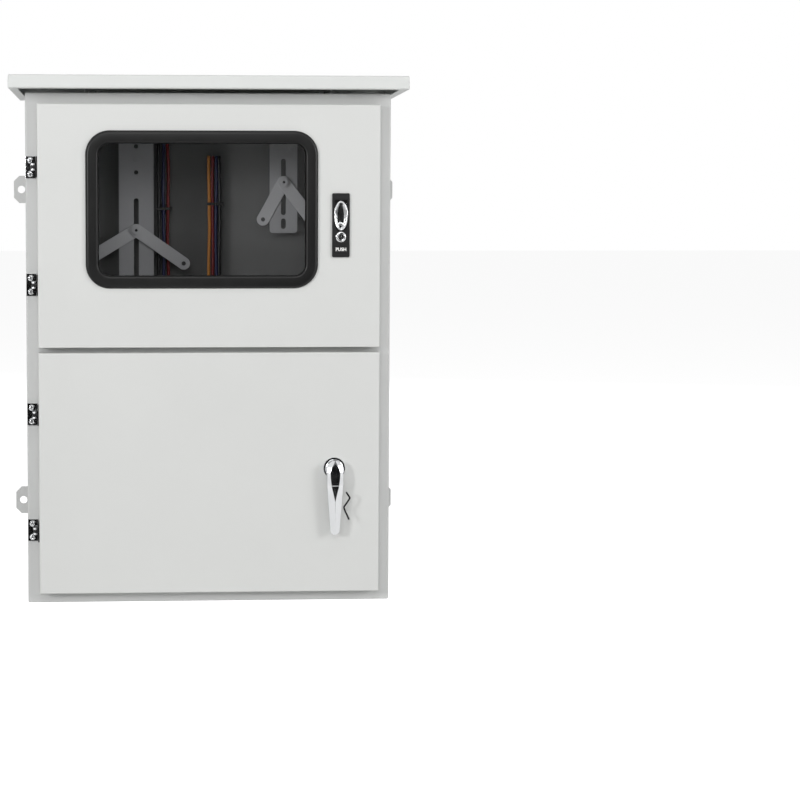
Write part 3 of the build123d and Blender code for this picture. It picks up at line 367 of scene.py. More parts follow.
# The flat dark disc on each pivot bolt's end is painted shade: it stands for the shade inside a socket in the
# bolt's end, which is not drawn hollow.
socket_shade_black = satin_coat("socket_shade_black", screen(60, 60, 61))
socket_shade_radius = 2 * MM
socket_shade_tall = 0.1 * MM
for arm in ("left_rear_arm", "left_front_arm", "right_rear_arm", "right_front_arm"):
    soften(arm, arm_grey, punched_edge)
for bolt in ("left_pivot_bolt", "right_pivot_bolt"):
    low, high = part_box(bolt)
    soften(bolt, arm_grey, 0.5 * MM)
    bolt_x, _, bolt_z = middle_of(low, high)
    bolt_end = (bolt_x, low.y, bolt_z)
    socket_shade_disc = skin(facing([bolt_end], *disc(socket_shade_radius, socket_shade_tall)), smooth=False)
    add_piece(bolt + "_end", socket_shade_disc, socket_shade_black, body_of(bolt), slot_of(bolt))

# Divider shelf and gland plate
# Zinc-plated sheet: a shelf between the chambers with rubber-lined slots for the wires, and a plate in the
# floor with three rubber grommets for the cables, screwed down on a rubber gasket.


def moulded(name, colour, roughness, grain=0.03 * MM, scale=800):
    """A moulded surface: fine spark-eroded texture, and slightly shinier and duller patches."""
    finish, place = new_finish(name, Specular_IOR_Level=0.4)
    texture = noise(place, scale)
    patch = noise(place, 40, detail=3)
    darker = tuple(value * 0.9 for value in colour)
    feed(
        finish,
        Base_Color=between(patch, darker, colour),
        Roughness=roughness - 0.08 + 0.16 * patch,
        Normal=relief(texture, grain),
    )
    return finish


rubber = moulded("black_rubber", screen(38, 38, 38), 0.5)
soften("divider_shelf", zinc, 0.4 * MM)
soften("gland_plate", zinc, 0.4 * MM)
soften("shelf_grommets", rubber, 0.6 * MM)
soften("gland_gasket", rubber, 0.4 * MM)


def grommet(x, y, base, tall):
    """A cable grommet: a profile of radius and height, turned about an upright axis. Its foot and its head
    are rounded flanges, and the groove between them grips the plate."""
    bore, groove, flange = 12 * MM, 16 * MM, 20 * MM
    bore_round, flange_round = 0.8 * MM, 1 * MM
    foot, head = 2.5 * MM, tall - 3 * MM
    profile = np.array([
        (bore, bore_round), (bore, tall - bore_round), (bore + bore_round, tall),
        (flange - flange_round, tall), (flange, tall - flange_round), (flange, head), (groove, head),
        (groove, foot), (flange, foot), (flange, flange_round), (flange - flange_round, 0),
        (bore + bore_round, 0), (bore, bore_round),
    ])
    radius, height = profile.T[:, :, None]
    cosine, sine = ring(48)
    return np.stack([x + radius * cosine, y + radius * sine, base + height + 0 * cosine], -1)


grommet_low, grommet_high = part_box("cable_grommets")
entry_pitch = 70 * MM
entry_x, entry_y, _ = middle_of(grommet_low, grommet_high)
entry_tall = grommet_high.z - grommet_low.z
grommet_rings = [
    grommet(entry_x + entry_pitch * step, entry_y, grommet_low.z, entry_tall) for step in (-1, 0, 1)
]
grommets = skin(np.stack(grommet_rings), crease=50)
add_piece("cable_grommets_dressed", grommets, rubber, "cabinet", "black_rubber", "cable_grommets")

# Switchgear
# A steel mounting rail carries an isolator, a breaker and a surge protector with four plug-in modules, in
# moulded cases of standard width. The two switches have black toggles tied across four poles, and each pole
# has a terminal screw in a round opening above and below.


def paint_faces(piece, finish, chosen):
    """Gives another finish to the faces that chosen picks."""
    picked = np.array([chosen(face) for face in piece.data.polygons])
    piece.data.materials.append(finish)
    piece.data.polygons.foreach_set("material_index", picked.astype(np.int32))


def pole_plastic(name, colour, middle):
    """Moulded cases side by side: a thin dark joint where the distance from the middle is a whole number of
    pole pitches, but not at the two outer sides."""
    finish, place = new_finish(name, Specular_IOR_Level=0.4)
    texture = noise(place, 800)
    pole = (place.node("SeparateXYZ", (), {"Vector": place}) - middle) * (1 / pole_pitch)
    joint = (pole.math("PINGPONG", pole, 0.5) < 0.016) * (pole.math("ABSOLUTE", pole, 0) < 1.5)
    dark = tuple(value * 0.12 for value in colour)
    feed(
        finish,
        Base_Color=between(joint, colour, dark),
        Roughness=0.34 + 0.12 * texture,
        Normal=relief(texture, 0.03 * MM),
    )
    return finish


def ease(share):
    """A smooth change from 0 to 1: 3 times the square less 2 times the cube."""
    share = np.clip(share, 0, 1)
    return share * share * (3 - 2 * share)


def pan_head(radius, tall, recess):
    """A pan-head screw: a short wall under a low crown that falls with the fourth power of the radius, less a
    cross recess whose arms fade out at their ends. Rows run from the seat up the wall to the middle, and
    columns round it."""
    cosine, sine = ring(64)
    share = np.concatenate([[0, 1, 1], np.linspace(0.97, 0, 22)])[:, None]
    seat = np.arange(len(share))[:, None] < 2
    height = tall * np.where(seat, 0, 0.35 + 0.65 * (1 - share ** 4))
    across = radius * share * cosine
    up = radius * share * sine
    arm = np.minimum(np.abs(across + up), np.abs(across - up)) / math.sqrt(2)
    cross = ease((0.16 * radius - arm) / (0.08 * radius)) * ease((0.62 - share) / 0.15)
    return across, up, height - recess * cross


pole_pitch = 18 * MM
case_middles = np.array([-95, 12, 110]) * MM
case_white = screen(226, 226, 222)
isolator_plastic, breaker_plastic, surge_plastic = (
    pole_plastic(name, case_white, float(middle))
    for name, middle in zip(("isolator_plastic", "breaker_plastic", "surge_plastic"), case_middles)
)
module_grey = moulded("module_plastic", screen(150, 152, 154), 0.42)
toggle_black = moulded("black_plastic", screen(34, 34, 35), 0.38)
soften("mounting_rail", zinc, 0.3 * MM)
cases = soften("switch_cases", isolator_plastic, 0.6 * MM)
paint_faces(cases, breaker_plastic, lambda face: face.center.x > case_middles[:2].mean())
soften("surge_base", surge_plastic, 0.6 * MM)
soften("surge_modules", module_grey, 0.7 * MM)
soften("isolator_toggle", toggle_black, 0.7 * MM)
soften("breaker_toggle", toggle_black, 0.7 * MM)
case_low, case_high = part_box("switch_cases")
nose_deep = 10 * MM
terminal_rise = 32.8 * MM
opening_radius = 4.4 * MM
opening_shade_tall = 0.08 * MM
terminal_x = (case_middles[:, None] + np.array([-1.5, -0.5, 0.5, 1.5]) * pole_pitch).ravel()
terminal_heights = (case_low.z + case_high.z) / 2 + terminal_rise * np.array([-1, 1])
terminal_places = np.array([(x, case_low.y + nose_deep, z) for x in terminal_x for z in terminal_heights])
# The flat dark discs round the terminal screws are painted shade: they stand for the shade inside each round
# opening, which is not drawn deep.
openings = skin(facing(terminal_places, *disc(opening_radius, opening_shade_tall)), smooth=False)
add_piece("terminal_opening_shade", openings, toggle_black, "cabinet", "black_plastic")
terminal_screw = pan_head(radius=3.4 * MM, tall=0.6 * MM, recess=0.4 * MM)
add_piece("terminal_screws", skin(facing(terminal_places, *terminal_screw)), zinc, "cabinet", "zinc_sheet")

# Terminal bars
# Two brass bars for the earth and neutral wires, each with a row of hexagon screws. They stand off the lower
# panel on moulded insulators.


def brushed_brass(name, colour):
    """Drawn brass: fine lines along the bar and a slight tarnish."""
    finish, place = new_finish(name, Metallic=1.0)
    stretched = place.node("Mapping", (), {"Vector": place, "Scale": (8, 500, 500)})
    lines = noise(stretched, 1, detail=3)
    tarnish = noise(place, 35, detail=3)
    dull = tuple(value * 0.7 for value in colour)
    feed(finish, Base_Color=between(tarnish, dull, colour), Roughness=0.2 + 0.25 * lines)
    return finish


soften("terminal_bars", brushed_brass("bar_brass", screen(208, 170, 96)), 0.5 * MM)
soften("bar_posts", moulded("insulator", screen(150, 52, 40), 0.45), 0.5 * MM)
screws = soften("hex_screws", zinc, 0.4 * MM)
strip_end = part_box("right_strip")[0].z
paint_faces(screws, strip_grey, lambda face: face.center.z > strip_end)
soften("panel_nuts", zinc, 0.4 * MM)

# Wires
# Stranded copper in coloured plastic insulation: one bundle of three and one of four, each held by ties on
# saddles. They come down the upper panel, pass through the shelf and enter the tops of the two switches.


def insulation(name, colour):
    """Extruded insulation: glossy, with faint bands where the wire was bent."""
    finish, place = new_finish(name, Specular_IOR_Level=0.5)
    bands = noise(place, 120)
    darker = tuple(value * 0.8 for value in colour)
    feed(finish, Base_Color=between(bands, darker, colour), Roughness=0.3 + 0.1 * bands)
    return finish


def tube(line, radius, sides=20):
    """A round tube along lines of points, indexed as line, point: circles square to the line at each point,
    and a flat cap at each end."""
    ahead = np.gradient(line, axis=1)
    ahead /= np.linalg.norm(ahead, axis=-1, keepdims=True)
    side = np.cross(ahead, (0.0, 1.0, 0.0))
    side /= np.linalg.norm(side, axis=-1, keepdims=True)
    front = np.cross(side, ahead)
    cosine, sine = ring(sides)
    circle = cosine[:, None] * side[:, :, None] + sine[:, None] * front[:, :, None]
    wall = line[:, :, None] + radius * circle
    caps = np.broadcast_to(line[:, [0, -1], None], (len(line), 2, sides, 3))
    return np.concatenate([caps[:, :1], wall, caps[:, 1:]], axis=1)


def wire_line(start, end, top, tie, phase, points=90):
    """The middle of one wire: straight down from the top with a slight wave that the tie holds still, then an
    eased curve to its terminal, and straight down into it."""
    z = np.linspace(top, end[2], points)
    moved = ease((wire_break - z) / (wire_break - wire_elbow))
    wave = wire_wave * np.sin(z / wire_wave_length + phase) * (1 - np.exp(-(((z - tie) / wire_held) ** 2)))
    x = start[0] + (end[0] - start[0]) * moved + wave * (1 - moved)
    y = start[1] + (end[1] - start[1]) * moved
    return np.stack([x, y, z], -1)


wire_radius = 2.3 * MM
wire_wave = 0.7 * MM
wire_wave_length = 24 * MM
wire_held = 22 * MM
wave_step = 2.0
wire_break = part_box("divider_shelf")[1].z - 24 * MM
wire_elbow = case_high.z + 16 * MM
wire_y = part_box("yellow_wire")[1].y - wire_radius
terminal_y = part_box("yellow_wire")[0].y + wire_radius
terminal_z = case_high.z - 8.8 * MM
tie_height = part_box("cable_ties")[0].z + 4 * MM
left_x, left_pitch = -61 * MM, 6.6 * MM
middle_x, middle_pitch = 12.5 * MM, 5.0 * MM
left_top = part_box("black_wires")[1].z
middle_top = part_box("yellow_wire")[1].z
bundles = (
    (left_x, left_pitch, left_top, case_middles[0], ("black", "blue", "red")),
    (middle_x, middle_pitch, middle_top, case_middles[1], ("yellow", "red", "blue", "black")),
)
insulation_levels = {
    "yellow": (220, 146, 64),
    "red": (122, 20, 22),
    "blue": (34, 40, 84),
    "black": (24, 24, 26),
}
for wire_colour, levels in insulation_levels.items():
    lines = []
    for bundle_x, pitch, top, case_x, order in bundles:
        if wire_colour in order:
            position = order.index(wire_colour)
            start = (bundle_x + (position - (len(order) - 1) / 2) * pitch, wire_y)
            end = (case_x + (position - 1.5) * pole_pitch, terminal_y, terminal_z)
            lines.append(wire_line(start, end, top, tie_height, wave_step * position))
    node = "yellow_wire" if wire_colour == "yellow" else wire_colour + "_wires"
    jacket = insulation(wire_colour + "_insulation", screen(*levels))
    wires = skin(tube(np.array(lines), wire_radius))
    add_piece(node + "_dressed", wires, jacket, "cabinet", slot_of(node), node)
nylon = moulded("nylon", screen(40, 40, 40), 0.4)
soften("cable_ties", nylon, 0.4 * MM)
soften("tie_saddles", nylon, 0.6 * MM)

# Doors
# Two trays of 1.5 mm sheet with folded and welded rims, coated as the box is. A foam frame behind each skin
# seals against the rain lip of its opening.

door_grey = powder_coat("door_coat", screen(220, 221, 219))
for door in ("lower_door_panel", "upper_door_panel"):
    low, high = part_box(door)
    soften(
        door, door_grey, 0.4 * MM, 2.2 * MM,
        lambda x, y, z, low=low, high=high: near(y, low.y) & near(x, low.x, high.x) & near(z, low.z, high.z),
    )
foam = moulded("closed_cell_foam", screen(46, 46, 46), 0.85, grain=0.2 * MM, scale=1500)
for gasket in ("lower_door_gasket", "upper_door_gasket"):
    soften(gasket, foam, 0.8 * MM)

# Window
# A pane of smoked acrylic in a black rubber frame. The rubber is an extruded strip with a flat front and
# round edges: it grips the door skin in one groove and the pane in another.


def rounded_frame(low, high, corner, inset, arc=16):
    """Points round a rectangle with round corners in the X-Z plane, one row for each inset: at each corner
    the centre stays, and the radius is the outer corner less the inset."""
    turn = (np.arange(4)[:, None] * math.pi / 2 + np.linspace(0, math.pi / 2, arc)[None]).ravel()
    side = np.repeat([(1, 1), (-1, 1), (-1, -1), (1, -1)], arc, axis=0)
    middle = (np.array(low) + np.array(high)) / 2
    reach = (np.array(high) - np.array(low)) / 2 - corner
    centre = middle + side * reach
    radius = corner - np.asarray(inset)[:, None, None]
    return centre[None] + radius * np.stack([np.cos(turn), np.sin(turn)], -1)[None]


def swell(start, end, height, steps):
    """Half an ellipse over the stretch from start to end: inset and height of each point."""
    turn = np.linspace(0, math.pi, steps)
    return np.stack([(start + end) / 2 - (end - start) / 2 * np.cos(turn), height * np.sin(turn)], -1)


seal_low, seal_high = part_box("window_seal")
door_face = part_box("upper_door_panel")[0].y
skin_deep = 1.5 * MM
skin_gap = 0.05 * MM
window_corner = 33 * MM
seal_sight = 14 * MM
lip_sight = 18 * MM
seal_grip = 5.9 * MM
pane_grip = 10.2 * MM
seal_front = door_face - seal_low.y
seal_rear = seal_high.y - door_face
pane_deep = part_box("window_pane")[1].y - door_face
outer_roll = 10 * MM
inner_roll = 8 * MM
rear_round = 0.8 * MM
roll_steps = 17
crest = roll_steps // 2
front_rolls = np.concatenate([
    swell(0, outer_roll, seal_front, roll_steps)[:crest + 1],
    swell(lip_sight - inner_roll, lip_sight, seal_front, roll_steps)[crest:],
])
grooves = np.array([
    (lip_sight, 0), (pane_grip, 0), (pane_grip, -pane_deep), (seal_sight, -pane_deep),
    (seal_sight - rear_round, -seal_rear), (rear_round, -seal_rear), (0, -seal_rear + rear_round),
    (0, -skin_deep - skin_gap), (seal_grip, -skin_deep - skin_gap), (seal_grip, 0), (0, 0),
])
section = np.concatenate([front_rolls, grooves])
outline = rounded_frame((seal_low.x, seal_low.z), (seal_high.x, seal_high.z), window_corner, section[:, 0])
depth = np.broadcast_to(door_face - section[:, 1, None], outline.shape[:2])
seal = skin(np.stack([outline[..., 0], depth, outline[..., 1]], -1)[None], crease=50)
seal_rubber = moulded("window_rubber", screen(13, 13, 13), 0.36)
seal_rubber.node_tree.nodes["Principled BSDF"].inputs["Specular IOR Level"].default_value = 0.3
add_piece("window_seal_dressed", seal, seal_rubber, "upper_door", "black_rubber", "window_seal")


def smoked_acrylic():
    """A clear sheet with a faint grey tint and a glossy, slightly uneven surface."""
    finish, place = new_finish(
        "smoked_acrylic", Base_Color=(*screen(16, 16, 16), 1), Alpha=0.12, Specular_IOR_Level=0.9
    )
    haze = noise(place, 25, detail=3)
    feed(finish, Roughness=0.04 + 0.04 * haze)
    return finish


coat("window_pane", smoked_acrylic())

# Hinges
# Four small plated hinges: a leaf screwed to the frame with two cheeks, a leaf welded to the door with one
# tongue, and a pin through all three.


def chrome_plate(name, colour, roughness):
    """Plated metal with faint smears that dull it here and there."""
    finish, place = new_finish(name, Base_Color=(*colour, 1), Metallic=1.0)
    smear = noise(place, 80, detail=3)
    feed(finish, Roughness=roughness + 0.1 * smear)
    return finish


chrome = chrome_plate("bright_plating", (0.67, 0.68, 0.69), 0.07)
worn_plate = chrome_plate("worn_plating", (0.7, 0.71, 0.72), 0.45)
frame_leaf = soften("hinge_frame_leaves", chrome, 0.4 * MM)
leaf_face = shell_low.y - 2.5 * MM
paint_faces(frame_leaf, worn_plate, lambda face: face.center.y < leaf_face)
soften("hinge_pins", worn_plate, 0.3 * MM)
for hinge in ("upper_hinge_leaves", "lower_hinge_leaves"):
    soften(hinge, dark_steel, 0.3 * MM)
screw_low, screw_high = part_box("hinge_screws")
screw_radius = (screw_high.x - screw_low.x) / 2
screw_pitch = 18.5 * MM
hinge_heights = np.array([-241.75, -81.75, 95.75, 255.75]) * MM
screw_z = (hinge_heights[:, None] + screw_pitch / 2 * np.array([-1, 1])).ravel()
screw_x = middle_of(screw_low, screw_high)[0]
screw_places = np.array([(screw_x, screw_high.y, z) for z in screw_z])
screw_shape = pan_head(screw_radius, tall=screw_high.y - screw_low.y, recess=1.3 * MM)
screw_heads = skin(facing(screw_places, *screw_shape))
add_piece("hinge_screws_dressed", screw_heads, chrome, "cabinet", "chrome", "hinge_screws")

# Flush lock
# A black die-cast case let into the upper door, with a chrome paddle on a pin, a key cylinder whose cam holds
# the door, and a push button that frees the paddle.

cast_black = moulded("black_cast", screen(28, 28, 29), 0.35)
soften("flush_lock_case", cast_black, 0.5 * MM)
soften("paddle_pin", dark_steel, 0.2 * MM)
soften("lock_cam", zinc, 0.3 * MM)


def turned(rows):
    """A round form on a front surface, from rows of radius and height: each row is a circle of that radius at
    that height."""
    radius, out = np.array(rows).T[:, :, None]
    cosine, sine = ring(72)
    return radius * cosine, radius * sine, out + 0 * cosine


def paddle_face(rows, ridge_at, ridge_wide, ridge_tall):
    """The paddle as ellipses of changing half width, half height and height, with straight stretches between
    the rows. A low ridge for the finger runs across the dish: a bell curve of the distance from the ridge,
    inside the rim only."""
    rim = 6
    row = np.concatenate([np.arange(rim), np.linspace(rim, len(rows) - 1, 40)])
    wide, tall, out = (np.interp(row, np.arange(len(rows)), column)[:, None] for column in np.array(rows).T)
    cosine, sine = ring(120)
    up = tall * sine
    inside = ease((row[:, None] - rim - 1) / 2)
    ridge = ridge_tall * np.exp(-(((up - ridge_at) / ridge_wide) ** 2)) * inside
    return wide * cosine, up, out + ridge


paddle_low, paddle_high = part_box("lock_paddle")
paddle_x, _, paddle_z = middle_of(paddle_low, paddle_high)
paddle_rows = np.array([
    (0, 0, 0), (8.6, 19.4, 0), (8.6, 19.4, 3.9), (9.5, 20.0, 4.2), (9.5, 20.0, 4.6), (9.1, 19.7, 4.9),
    (8.5, 19.2, 5.0), (7.2, 18.2, 4.5), (6.2, 17.4, 3.6), (5.5, 16.8, 3.1), (4.2, 15.8, 3.0), (0, 0, 3.0),
]) * MM
paddle_shape = paddle_face(paddle_rows, ridge_at=-12 * MM, ridge_wide=1.1 * MM, ridge_tall=0.9 * MM)
paddle = skin(facing([(paddle_x, paddle_high.y, paddle_z)], *paddle_shape), crease=60)
add_piece("lock_paddle_dressed", paddle, chrome, "paddle", "chrome", "lock_paddle")


def key_plug(radius, out, slot_wide, slot_long, slot_deep):
    """The front of the key plug: a flat disc less a keyway with eased edges. Rows run from the foot of the
    wall over the rim to the middle."""
    cosine, sine = ring(96)
    reach = np.concatenate([[radius, radius], np.linspace(0.97 * radius, 0, 30)])[:, None]
    across = reach * cosine
    up = reach * sine
    edge = 0.12 * MM
    inside_wide = ease((slot_wide / 2 - np.abs(across)) / edge + 0.5)
    inside_long = ease((slot_long / 2 - np.abs(up)) / edge + 0.5)
    wall = 1.0 * MM
    height = np.full_like(reach, out)
    height[0] -= wall
    return across, up, height - slot_deep * inside_wide * inside_long


cylinder_low, cylinder_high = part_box("lock_cylinder")
cylinder_radius = (cylinder_high.x - cylinder_low.x) / 2
head_tall = 1.0 * MM
cylinder_seat = cylinder_low.y + head_tall
cylinder_x = middle_of(cylinder_low, cylinder_high)[0]
cylinder_middle = (cylinder_x, cylinder_seat, cylinder_low.z + cylinder_radius)
tail_end = (cylinder_seat - cylinder_high.y) / MM
tail_step = tail_end + 6
barrel_end = -18.5
cylinder_rows = np.array([
    (0, tail_end), (2.5, tail_end), (2.5, tail_step), (4, tail_step), (4, barrel_end), (6, barrel_end),
    (6, 0), (7, 0), (7, 0.2), (6.7, 0.5), (6.2, 0.75), (5.6, 0.92), (4.9, 1.0), (4.2, 0.75), (3.9, 0.2),
    (0, 0.2),
]) * MM
cylinder = skin(facing([cylinder_middle], *turned(cylinder_rows)), crease=40)
add_piece("lock_cylinder_dressed", cylinder, chrome, "key_cylinder", "chrome", "lock_cylinder")
plug_shape = key_plug(3.8 * MM, out=0.7 * MM, slot_wide=1.7 * MM, slot_long=5.4 * MM, slot_deep=2.0 * MM)
plug = skin(facing([cylinder_middle], *plug_shape), crease=40)
add_piece("key_plug", plug, chrome, "key_cylinder", "chrome")

button_low, button_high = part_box("lock_button")
soften("lock_button", toggle_black, 0.4 * MM)


def lettering(text, height, wide, middle):
    """Flat bold letters on a front surface as a mesh: upright, stretched to a width and centred on their
    middle."""
    curve = bpy.data.curves.new("letters", "FONT")
    curve.body = text
    curve.align_x = "CENTER"
    curve.align_y = "CENTER"
    curve.size = height
    curve.extrude = 0.06 * MM
    curve.offset = 0.035 * height
    letters = bpy.data.objects.new("letters", curve)
    mesh = bpy.data.meshes.new_from_object(letters)
    mesh.materials.clear()
    bpy.data.objects.remove(letters)
    co = np.zeros(3 * len(mesh.vertices))
    mesh.vertices.foreach_get("co", co)
    stretch = wide / np.ptp(co[::3])
    upright = Matrix.Rotation(math.pi / 2, 4, "X")
    mesh.transform(Matrix.Translation(middle) @ upright @ Matrix.Diagonal((stretch, 1, 1, 1)))
    return mesh


letter_white = moulded("letter_white", screen(246, 246, 244), 0.5)
button_x, _, button_z = middle_of(button_low, button_high)
letter_middle = Vector((button_x, button_low.y, button_z))
word = lettering("PUSH", height=6.2 * MM, wide=14.4 * MM, middle=letter_middle)
add_piece("button_word", word, letter_white, "push_button", "black_plastic")

# Lever lock
# A chrome lever on a round rose in the lower door. Its spindle carries a cam behind the door, held by a nut,
# and a bent wire is tied beside the lever.

rose_low, rose_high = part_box("handle_rose")
rose_x, _, rose_z = middle_of(rose_low, rose_high)
rose_radius = (rose_high.x - rose_low.x) / 2
rose_deep = rose_high.y - rose_low.y
shank_radius = 9 * MM
rose_seat = rose_high.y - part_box("lower_door_panel")[0].y
rose_bore = 6.1 * MM
rose_rim = rose_seat + 1.4 * MM
rose_step = rose_seat + 2.0 * MM
rose_rows = [
    (rose_bore, 0), (shank_radius, 0), (shank_radius, rose_seat), (rose_radius, rose_seat),
    (rose_radius, rose_rim), (0.975 * rose_radius, rose_rim + 0.5 * MM),
    (0.83 * rose_radius, rose_step), (0.82 * rose_radius, rose_deep - 1.2 * MM),
    (0.79 * rose_radius, rose_deep - 0.4 * MM), (0.74 * rose_radius, rose_deep),
    (rose_bore, rose_deep), (rose_bore, 0),
]
rose = skin(facing([(rose_x, rose_high.y, rose_z)], *turned(rose_rows)), crease=28)
add_piece("handle_rose_dressed", rose, chrome, "lower_door", "chrome", "handle_rose")

lever_low, lever_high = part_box("lever_handle")
lever_middle = Vector((rose_x, lever_low.y, rose_z))
lever_top = lever_high.z - lever_middle.z
lever_tip = lever_low.z - lever_middle.z
head_gap = 0.1 * MM
head_deep = rose_low.y - lever_low.y - head_gap
blade_deep = 8 * MM
side_deep = 1.0 * MM
head_seat = -15 * MM
edge_share = 0.7
head_round = 10 * MM
tip_round = 5 * MM
lever_levels = np.array([-1, -4, -11, -14.99, -15, -20.99, -22, -22.8, -24, -34, -44, -60, -72]) * MM
half_widths = np.array([(-90, 5.8), (-49, 9.0), (-21, 11.0), (0, 10.6), (12, 10.4)]) * MM
face_drops = np.array([
    (-90, 2.4), (-80, 1.2), (-49, 0.5), (-24, 0.3), (-22.8, 0.4), (-22, 0), (-3, 0), (6, 0.9), (12, 3.2),
]) * MM
flat_shares = np.array([
    (-90, 0.02), (-44, 0.02), (-23, 0.47), (-21, 0.48), (-11, 0.6), (-4, 0.62), (0, 0.55), (7, 0.24),
    (12, 0.1),
]) * (MM, 1)
gentle_slopes = np.array([(-32, 0.2), (-23, 0.5)]) * (MM, 1)
steep_slope = 0.5


def lever_sections():
    """The lever as closed sections from its top to its tip. Half the width runs straight between a few levels
    and is closed by a quarter ellipse at each end. The front is a flat face between two slopes, which grow
    steeper towards the edges, and it drops a little below the seam of the head. The rear steps from the rose
    to the thinner blade."""
    head_turn = np.linspace(0, math.pi / 2, 14)
    tip_turn = np.linspace(0, math.pi / 2, 10)
    top = lever_top - head_round * (1 - np.cos(head_turn))
    tip = lever_tip + tip_round * (1 - np.sin(tip_turn))
    z = np.concatenate([top, lever_levels, tip])
    wide = np.interp(z, *half_widths.T)
    wide[:len(top)] *= np.sin(head_turn)
    wide[-len(tip):] *= np.cos(tip_turn)
    flat_share = np.interp(z, *flat_shares.T)
    dip = np.interp(z, *face_drops.T)
    rear = np.where(z > head_seat - 0.005 * MM, head_deep, blade_deep)
    gentle = dip + wide * (edge_share - flat_share) * np.interp(z, *gentle_slopes.T)
    steep = np.minimum(gentle + wide * (1 - edge_share) * steep_slope, rear - side_deep)
    left = -np.stack([wide, wide, wide * edge_share, wide * flat_share], -1)
    across = np.concatenate([left, -left[:, ::-1]], axis=1)
    front = np.stack([rear, steep, gentle, dip], -1)
    out = -np.concatenate([front, front[:, ::-1]], axis=1)
    up = np.repeat(z[:, None], 8, axis=1)
    return across, up, out


lever = skin(facing([lever_middle], *lever_sections()), smooth=False)
lever_piece = add_piece("lever_handle_dressed", lever, chrome, "lever", "chrome", "lever_handle")
roll(lever_piece, 0.7 * MM, 3, limit_method="ANGLE", angle_limit=math.radians(25))
spindle_radius, neck_radius, tail_radius = 5.9 * MM, 4 * MM, 2.5 * MM
spindle_end = rose_low.y - lever_high.y
cam_seat = rose_low.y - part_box("lever_cam")[0].y
spindle_rows = [
    (0, spindle_end), (tail_radius, spindle_end), (tail_radius, cam_seat), (neck_radius, cam_seat),
    (neck_radius, -rose_deep), (spindle_radius, -rose_deep), (spindle_radius, 0), (0, 0),
]
spindle = skin(facing([(rose_x, rose_low.y, rose_z)], *turned(spindle_rows)), crease=40)
add_piece("lever_spindle", spindle, chrome, "lever", "chrome")
soften("rose_nut", zinc, 0.4 * MM)
soften("lever_cam", zinc, 0.3 * MM)


def bent(corners, radius, steps=10):
    """A line through corners with each inner corner rounded: at a corner the line bends along the curve
    (1 - t)(1 - t) from + 2 t (1 - t) corner + t t to, whose ends lie one radius away on the two legs."""
    corners = np.array(corners)
    legs = np.diff(corners, axis=0)
    legs /= np.linalg.norm(legs, axis=1, keepdims=True)
    share = np.linspace(0, 1, steps)[None, :, None]
    start = (corners[1:-1] - radius * legs[:-1])[:, None]
    turn = corners[1:-1, None]
    end = (corners[1:-1] + radius * legs[1:])[:, None]
    bends = (1 - share) ** 2 * start + 2 * share * (1 - share) * turn + share ** 2 * end
    return np.concatenate([corners[:1], bends.reshape(-1, 3), corners[-1:]])


tie_low, tie_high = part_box("tie_wire")
tie_radius = 1.2 * MM
tie_bend = 1.6 * MM
tie_start = np.array([tie_low.x + 2 * MM, middle_of(tie_low, tie_high)[1], lever_middle.z - 56 * MM])
tie_corners = np.array([(4.4, 0, 24.5), (9.8, 0, 16.5), (1.2, 0, 4.0), (2.2, 0, 0.5), (8.4, 0, -13.2)]) * MM
tie_line = bent(tie_start + tie_corners, tie_bend)
tie = skin(tube(tie_line[None], tie_radius))
add_piece("tie_wire_dressed", tie, dark_steel, "lever", slot_of("tie_wire"), "tie_wire")

# Floor, light and camera
# A white floor under the box and white all round. Five soft lamps stand to the left, in front, to the right,
# above and behind, black cards darken what the bright metal and the pane reflect, and the camera stands a
# little to the left of the box and above its middle.

ground = shell_low.z
floor_reach = 40.0
floor_level = 0.85
floor_glow = 0.78
mirrored_glow = 0.62
floor_mesh = bpy.data.meshes.new("floor")
floor_corners = [(x * floor_reach, y * floor_reach, ground) for x, y in ((-1, -1), (1, -1), (1, 1), (-1, 1))]
floor_mesh.from_pydata(floor_corners, [], [(0, 1, 2, 3)])
floor = bpy.data.objects.new("floor", floor_mesh)
bpy.context.scene.collection.objects.link(floor)
floor_paint, rays = new_finish(
    "floor_paint",
    Base_Color=(floor_level, floor_level, floor_level, 1),
    Roughness=0.9,
    Specular_IOR_Level=0.0,
    Emission_Strength=floor_glow,
)
seen = rays.node("LightPath", output="Is Camera Ray")
mirrored = rays.node("LightPath", output="Is Glossy Ray")
feed(floor_paint, Emission_Color=between(seen + mirrored_glow * mirrored, (0, 0, 0), (1, 1, 1)))
floor_mesh.materials.append(floor_paint)

world = bpy.data.worlds.new("white_room")
bpy.context.scene.world = world
world.use_nodes = True
background = world.node_tree.nodes["Background"]
sky = Tone(world.node_tree)
shown = (
    sky.node("LightPath", output="Is Camera Ray")
    + sky.node("LightPath", output="Is Glossy Ray")
    + sky.node("LightPath", output="Is Transmission Ray")
)
ambient = 0.2
strength = ambient + (1 - ambient) * (shown > 0.5)
background.inputs["Color"].default_value = (1, 1, 1, 1)
world.node_tree.links.new(strength.socket, background.inputs["Strength"])


def soft_lamp(name, place, aim, size, watts):
    """A square lamp that faces its aim."""
    light = bpy.data.lights.new(name, "AREA")
    light.size = size
    light.energy = watts
    lamp = bpy.data.objects.new(name, light)
    lamp.location = place
    lamp.visible_camera = False
    lamp.rotation_euler = (Vector(aim) - Vector(place)).to_track_quat("-Z", "Y").to_euler()
    bpy.context.scene.collection.objects.link(lamp)


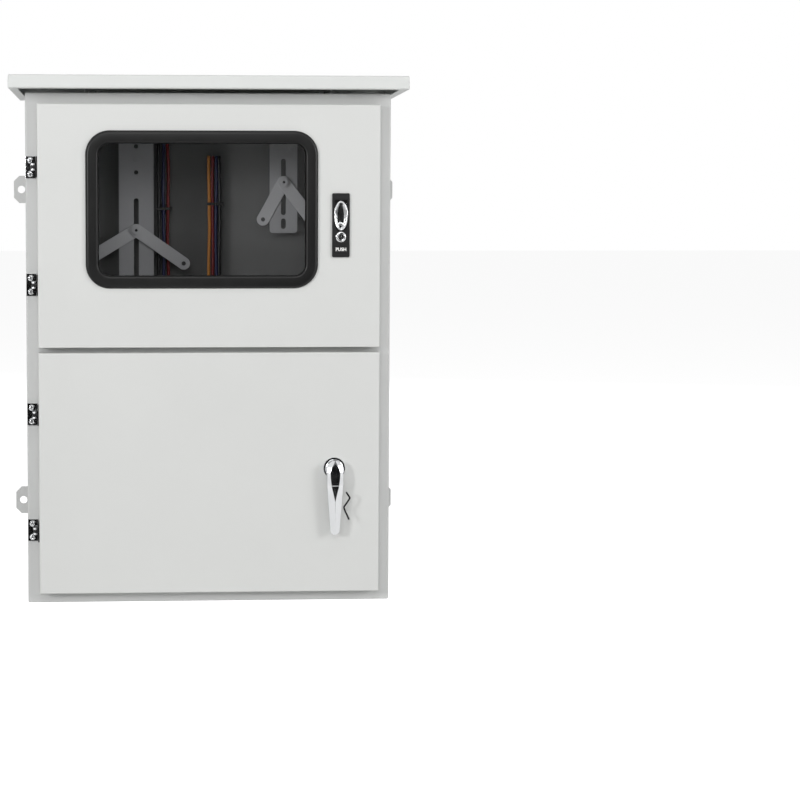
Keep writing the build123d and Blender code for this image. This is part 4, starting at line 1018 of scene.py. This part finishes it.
lamp_aim = (0, -0.2, 0.05)
soft_lamp("left_lamp", (-2.5, -2.6, 0.75), lamp_aim, size=0.7, watts=41)
soft_lamp("front_lamp", (-0.4, -3.2, 1.5), lamp_aim, size=1.4, watts=20)
soft_lamp("right_lamp", (2.6, -2.2, 0.8), lamp_aim, size=1.2, watts=36)
soft_lamp("top_lamp", (0.2, -1.8, 2.8), lamp_aim, size=1.6, watts=10)
soft_lamp("rear_lamp", (0.9, 2.8, 1.3), lamp_aim, size=1.4, watts=19)


def dark_card(name, start, end, low, high):
    """A black upright card that only reflections see, as a photographer sets round bright metal. Its foot
    runs from the start to the end in plan, and it stands from the low to the high level."""
    mesh = bpy.data.meshes.new(name)
    mesh.from_pydata([(*start, low), (*end, low), (*end, high), (*start, high)], [], [(0, 1, 2, 3)])
    mesh.materials.append(card_black)
    card = bpy.data.objects.new(name, mesh)
    bpy.context.scene.collection.objects.link(card)
    card.visible_camera = False
    card.visible_diffuse = False
    card.visible_transmission = False
    card.visible_shadow = False


card_level = 0.01
card_black, _ = new_finish(
    "card_black", Base_Color=(card_level, card_level, card_level, 1), Roughness=1.0, Specular_IOR_Level=0.0
)
dark_card("lever_card", (0.09, -0.9), (0.4, -0.9), low=ground, high=0.05)
dark_card("lock_card", (0.2, -0.9), (0.4, -0.9), low=0.05, high=0.45)
dark_card("hinge_card", (-0.31, -0.42), (-0.22, -0.42), low=ground, high=0.33)
dark_card("window_card", (-0.4, -1.6), (0.09, -1.6), low=-0.1, high=0.5)
dark_card("left_card", (-1.3, -0.5), (-1.3, 0.8), low=ground, high=1.3)
dark_card("right_card", (1.5, -0.5), (1.5, 0.8), low=ground, high=1.3)

camera_data = bpy.data.cameras.new("camera")
camera_data.lens = 81.26
camera_data.sensor_width = 36
camera_data.shift_x = 0.205
camera_data.shift_y = -0.075
camera = bpy.data.objects.new("camera", camera_data)
camera.location = (-0.088, -2.681, 0.172)
camera_dip = 3.52
camera_turn = -2.89
camera.rotation_euler = (math.radians(90 - camera_dip), 0, math.radians(camera_turn))
bpy.context.scene.collection.objects.link(camera)
bpy.context.scene.camera = camera
bpy.context.scene.view_settings.view_transform = "Standard"
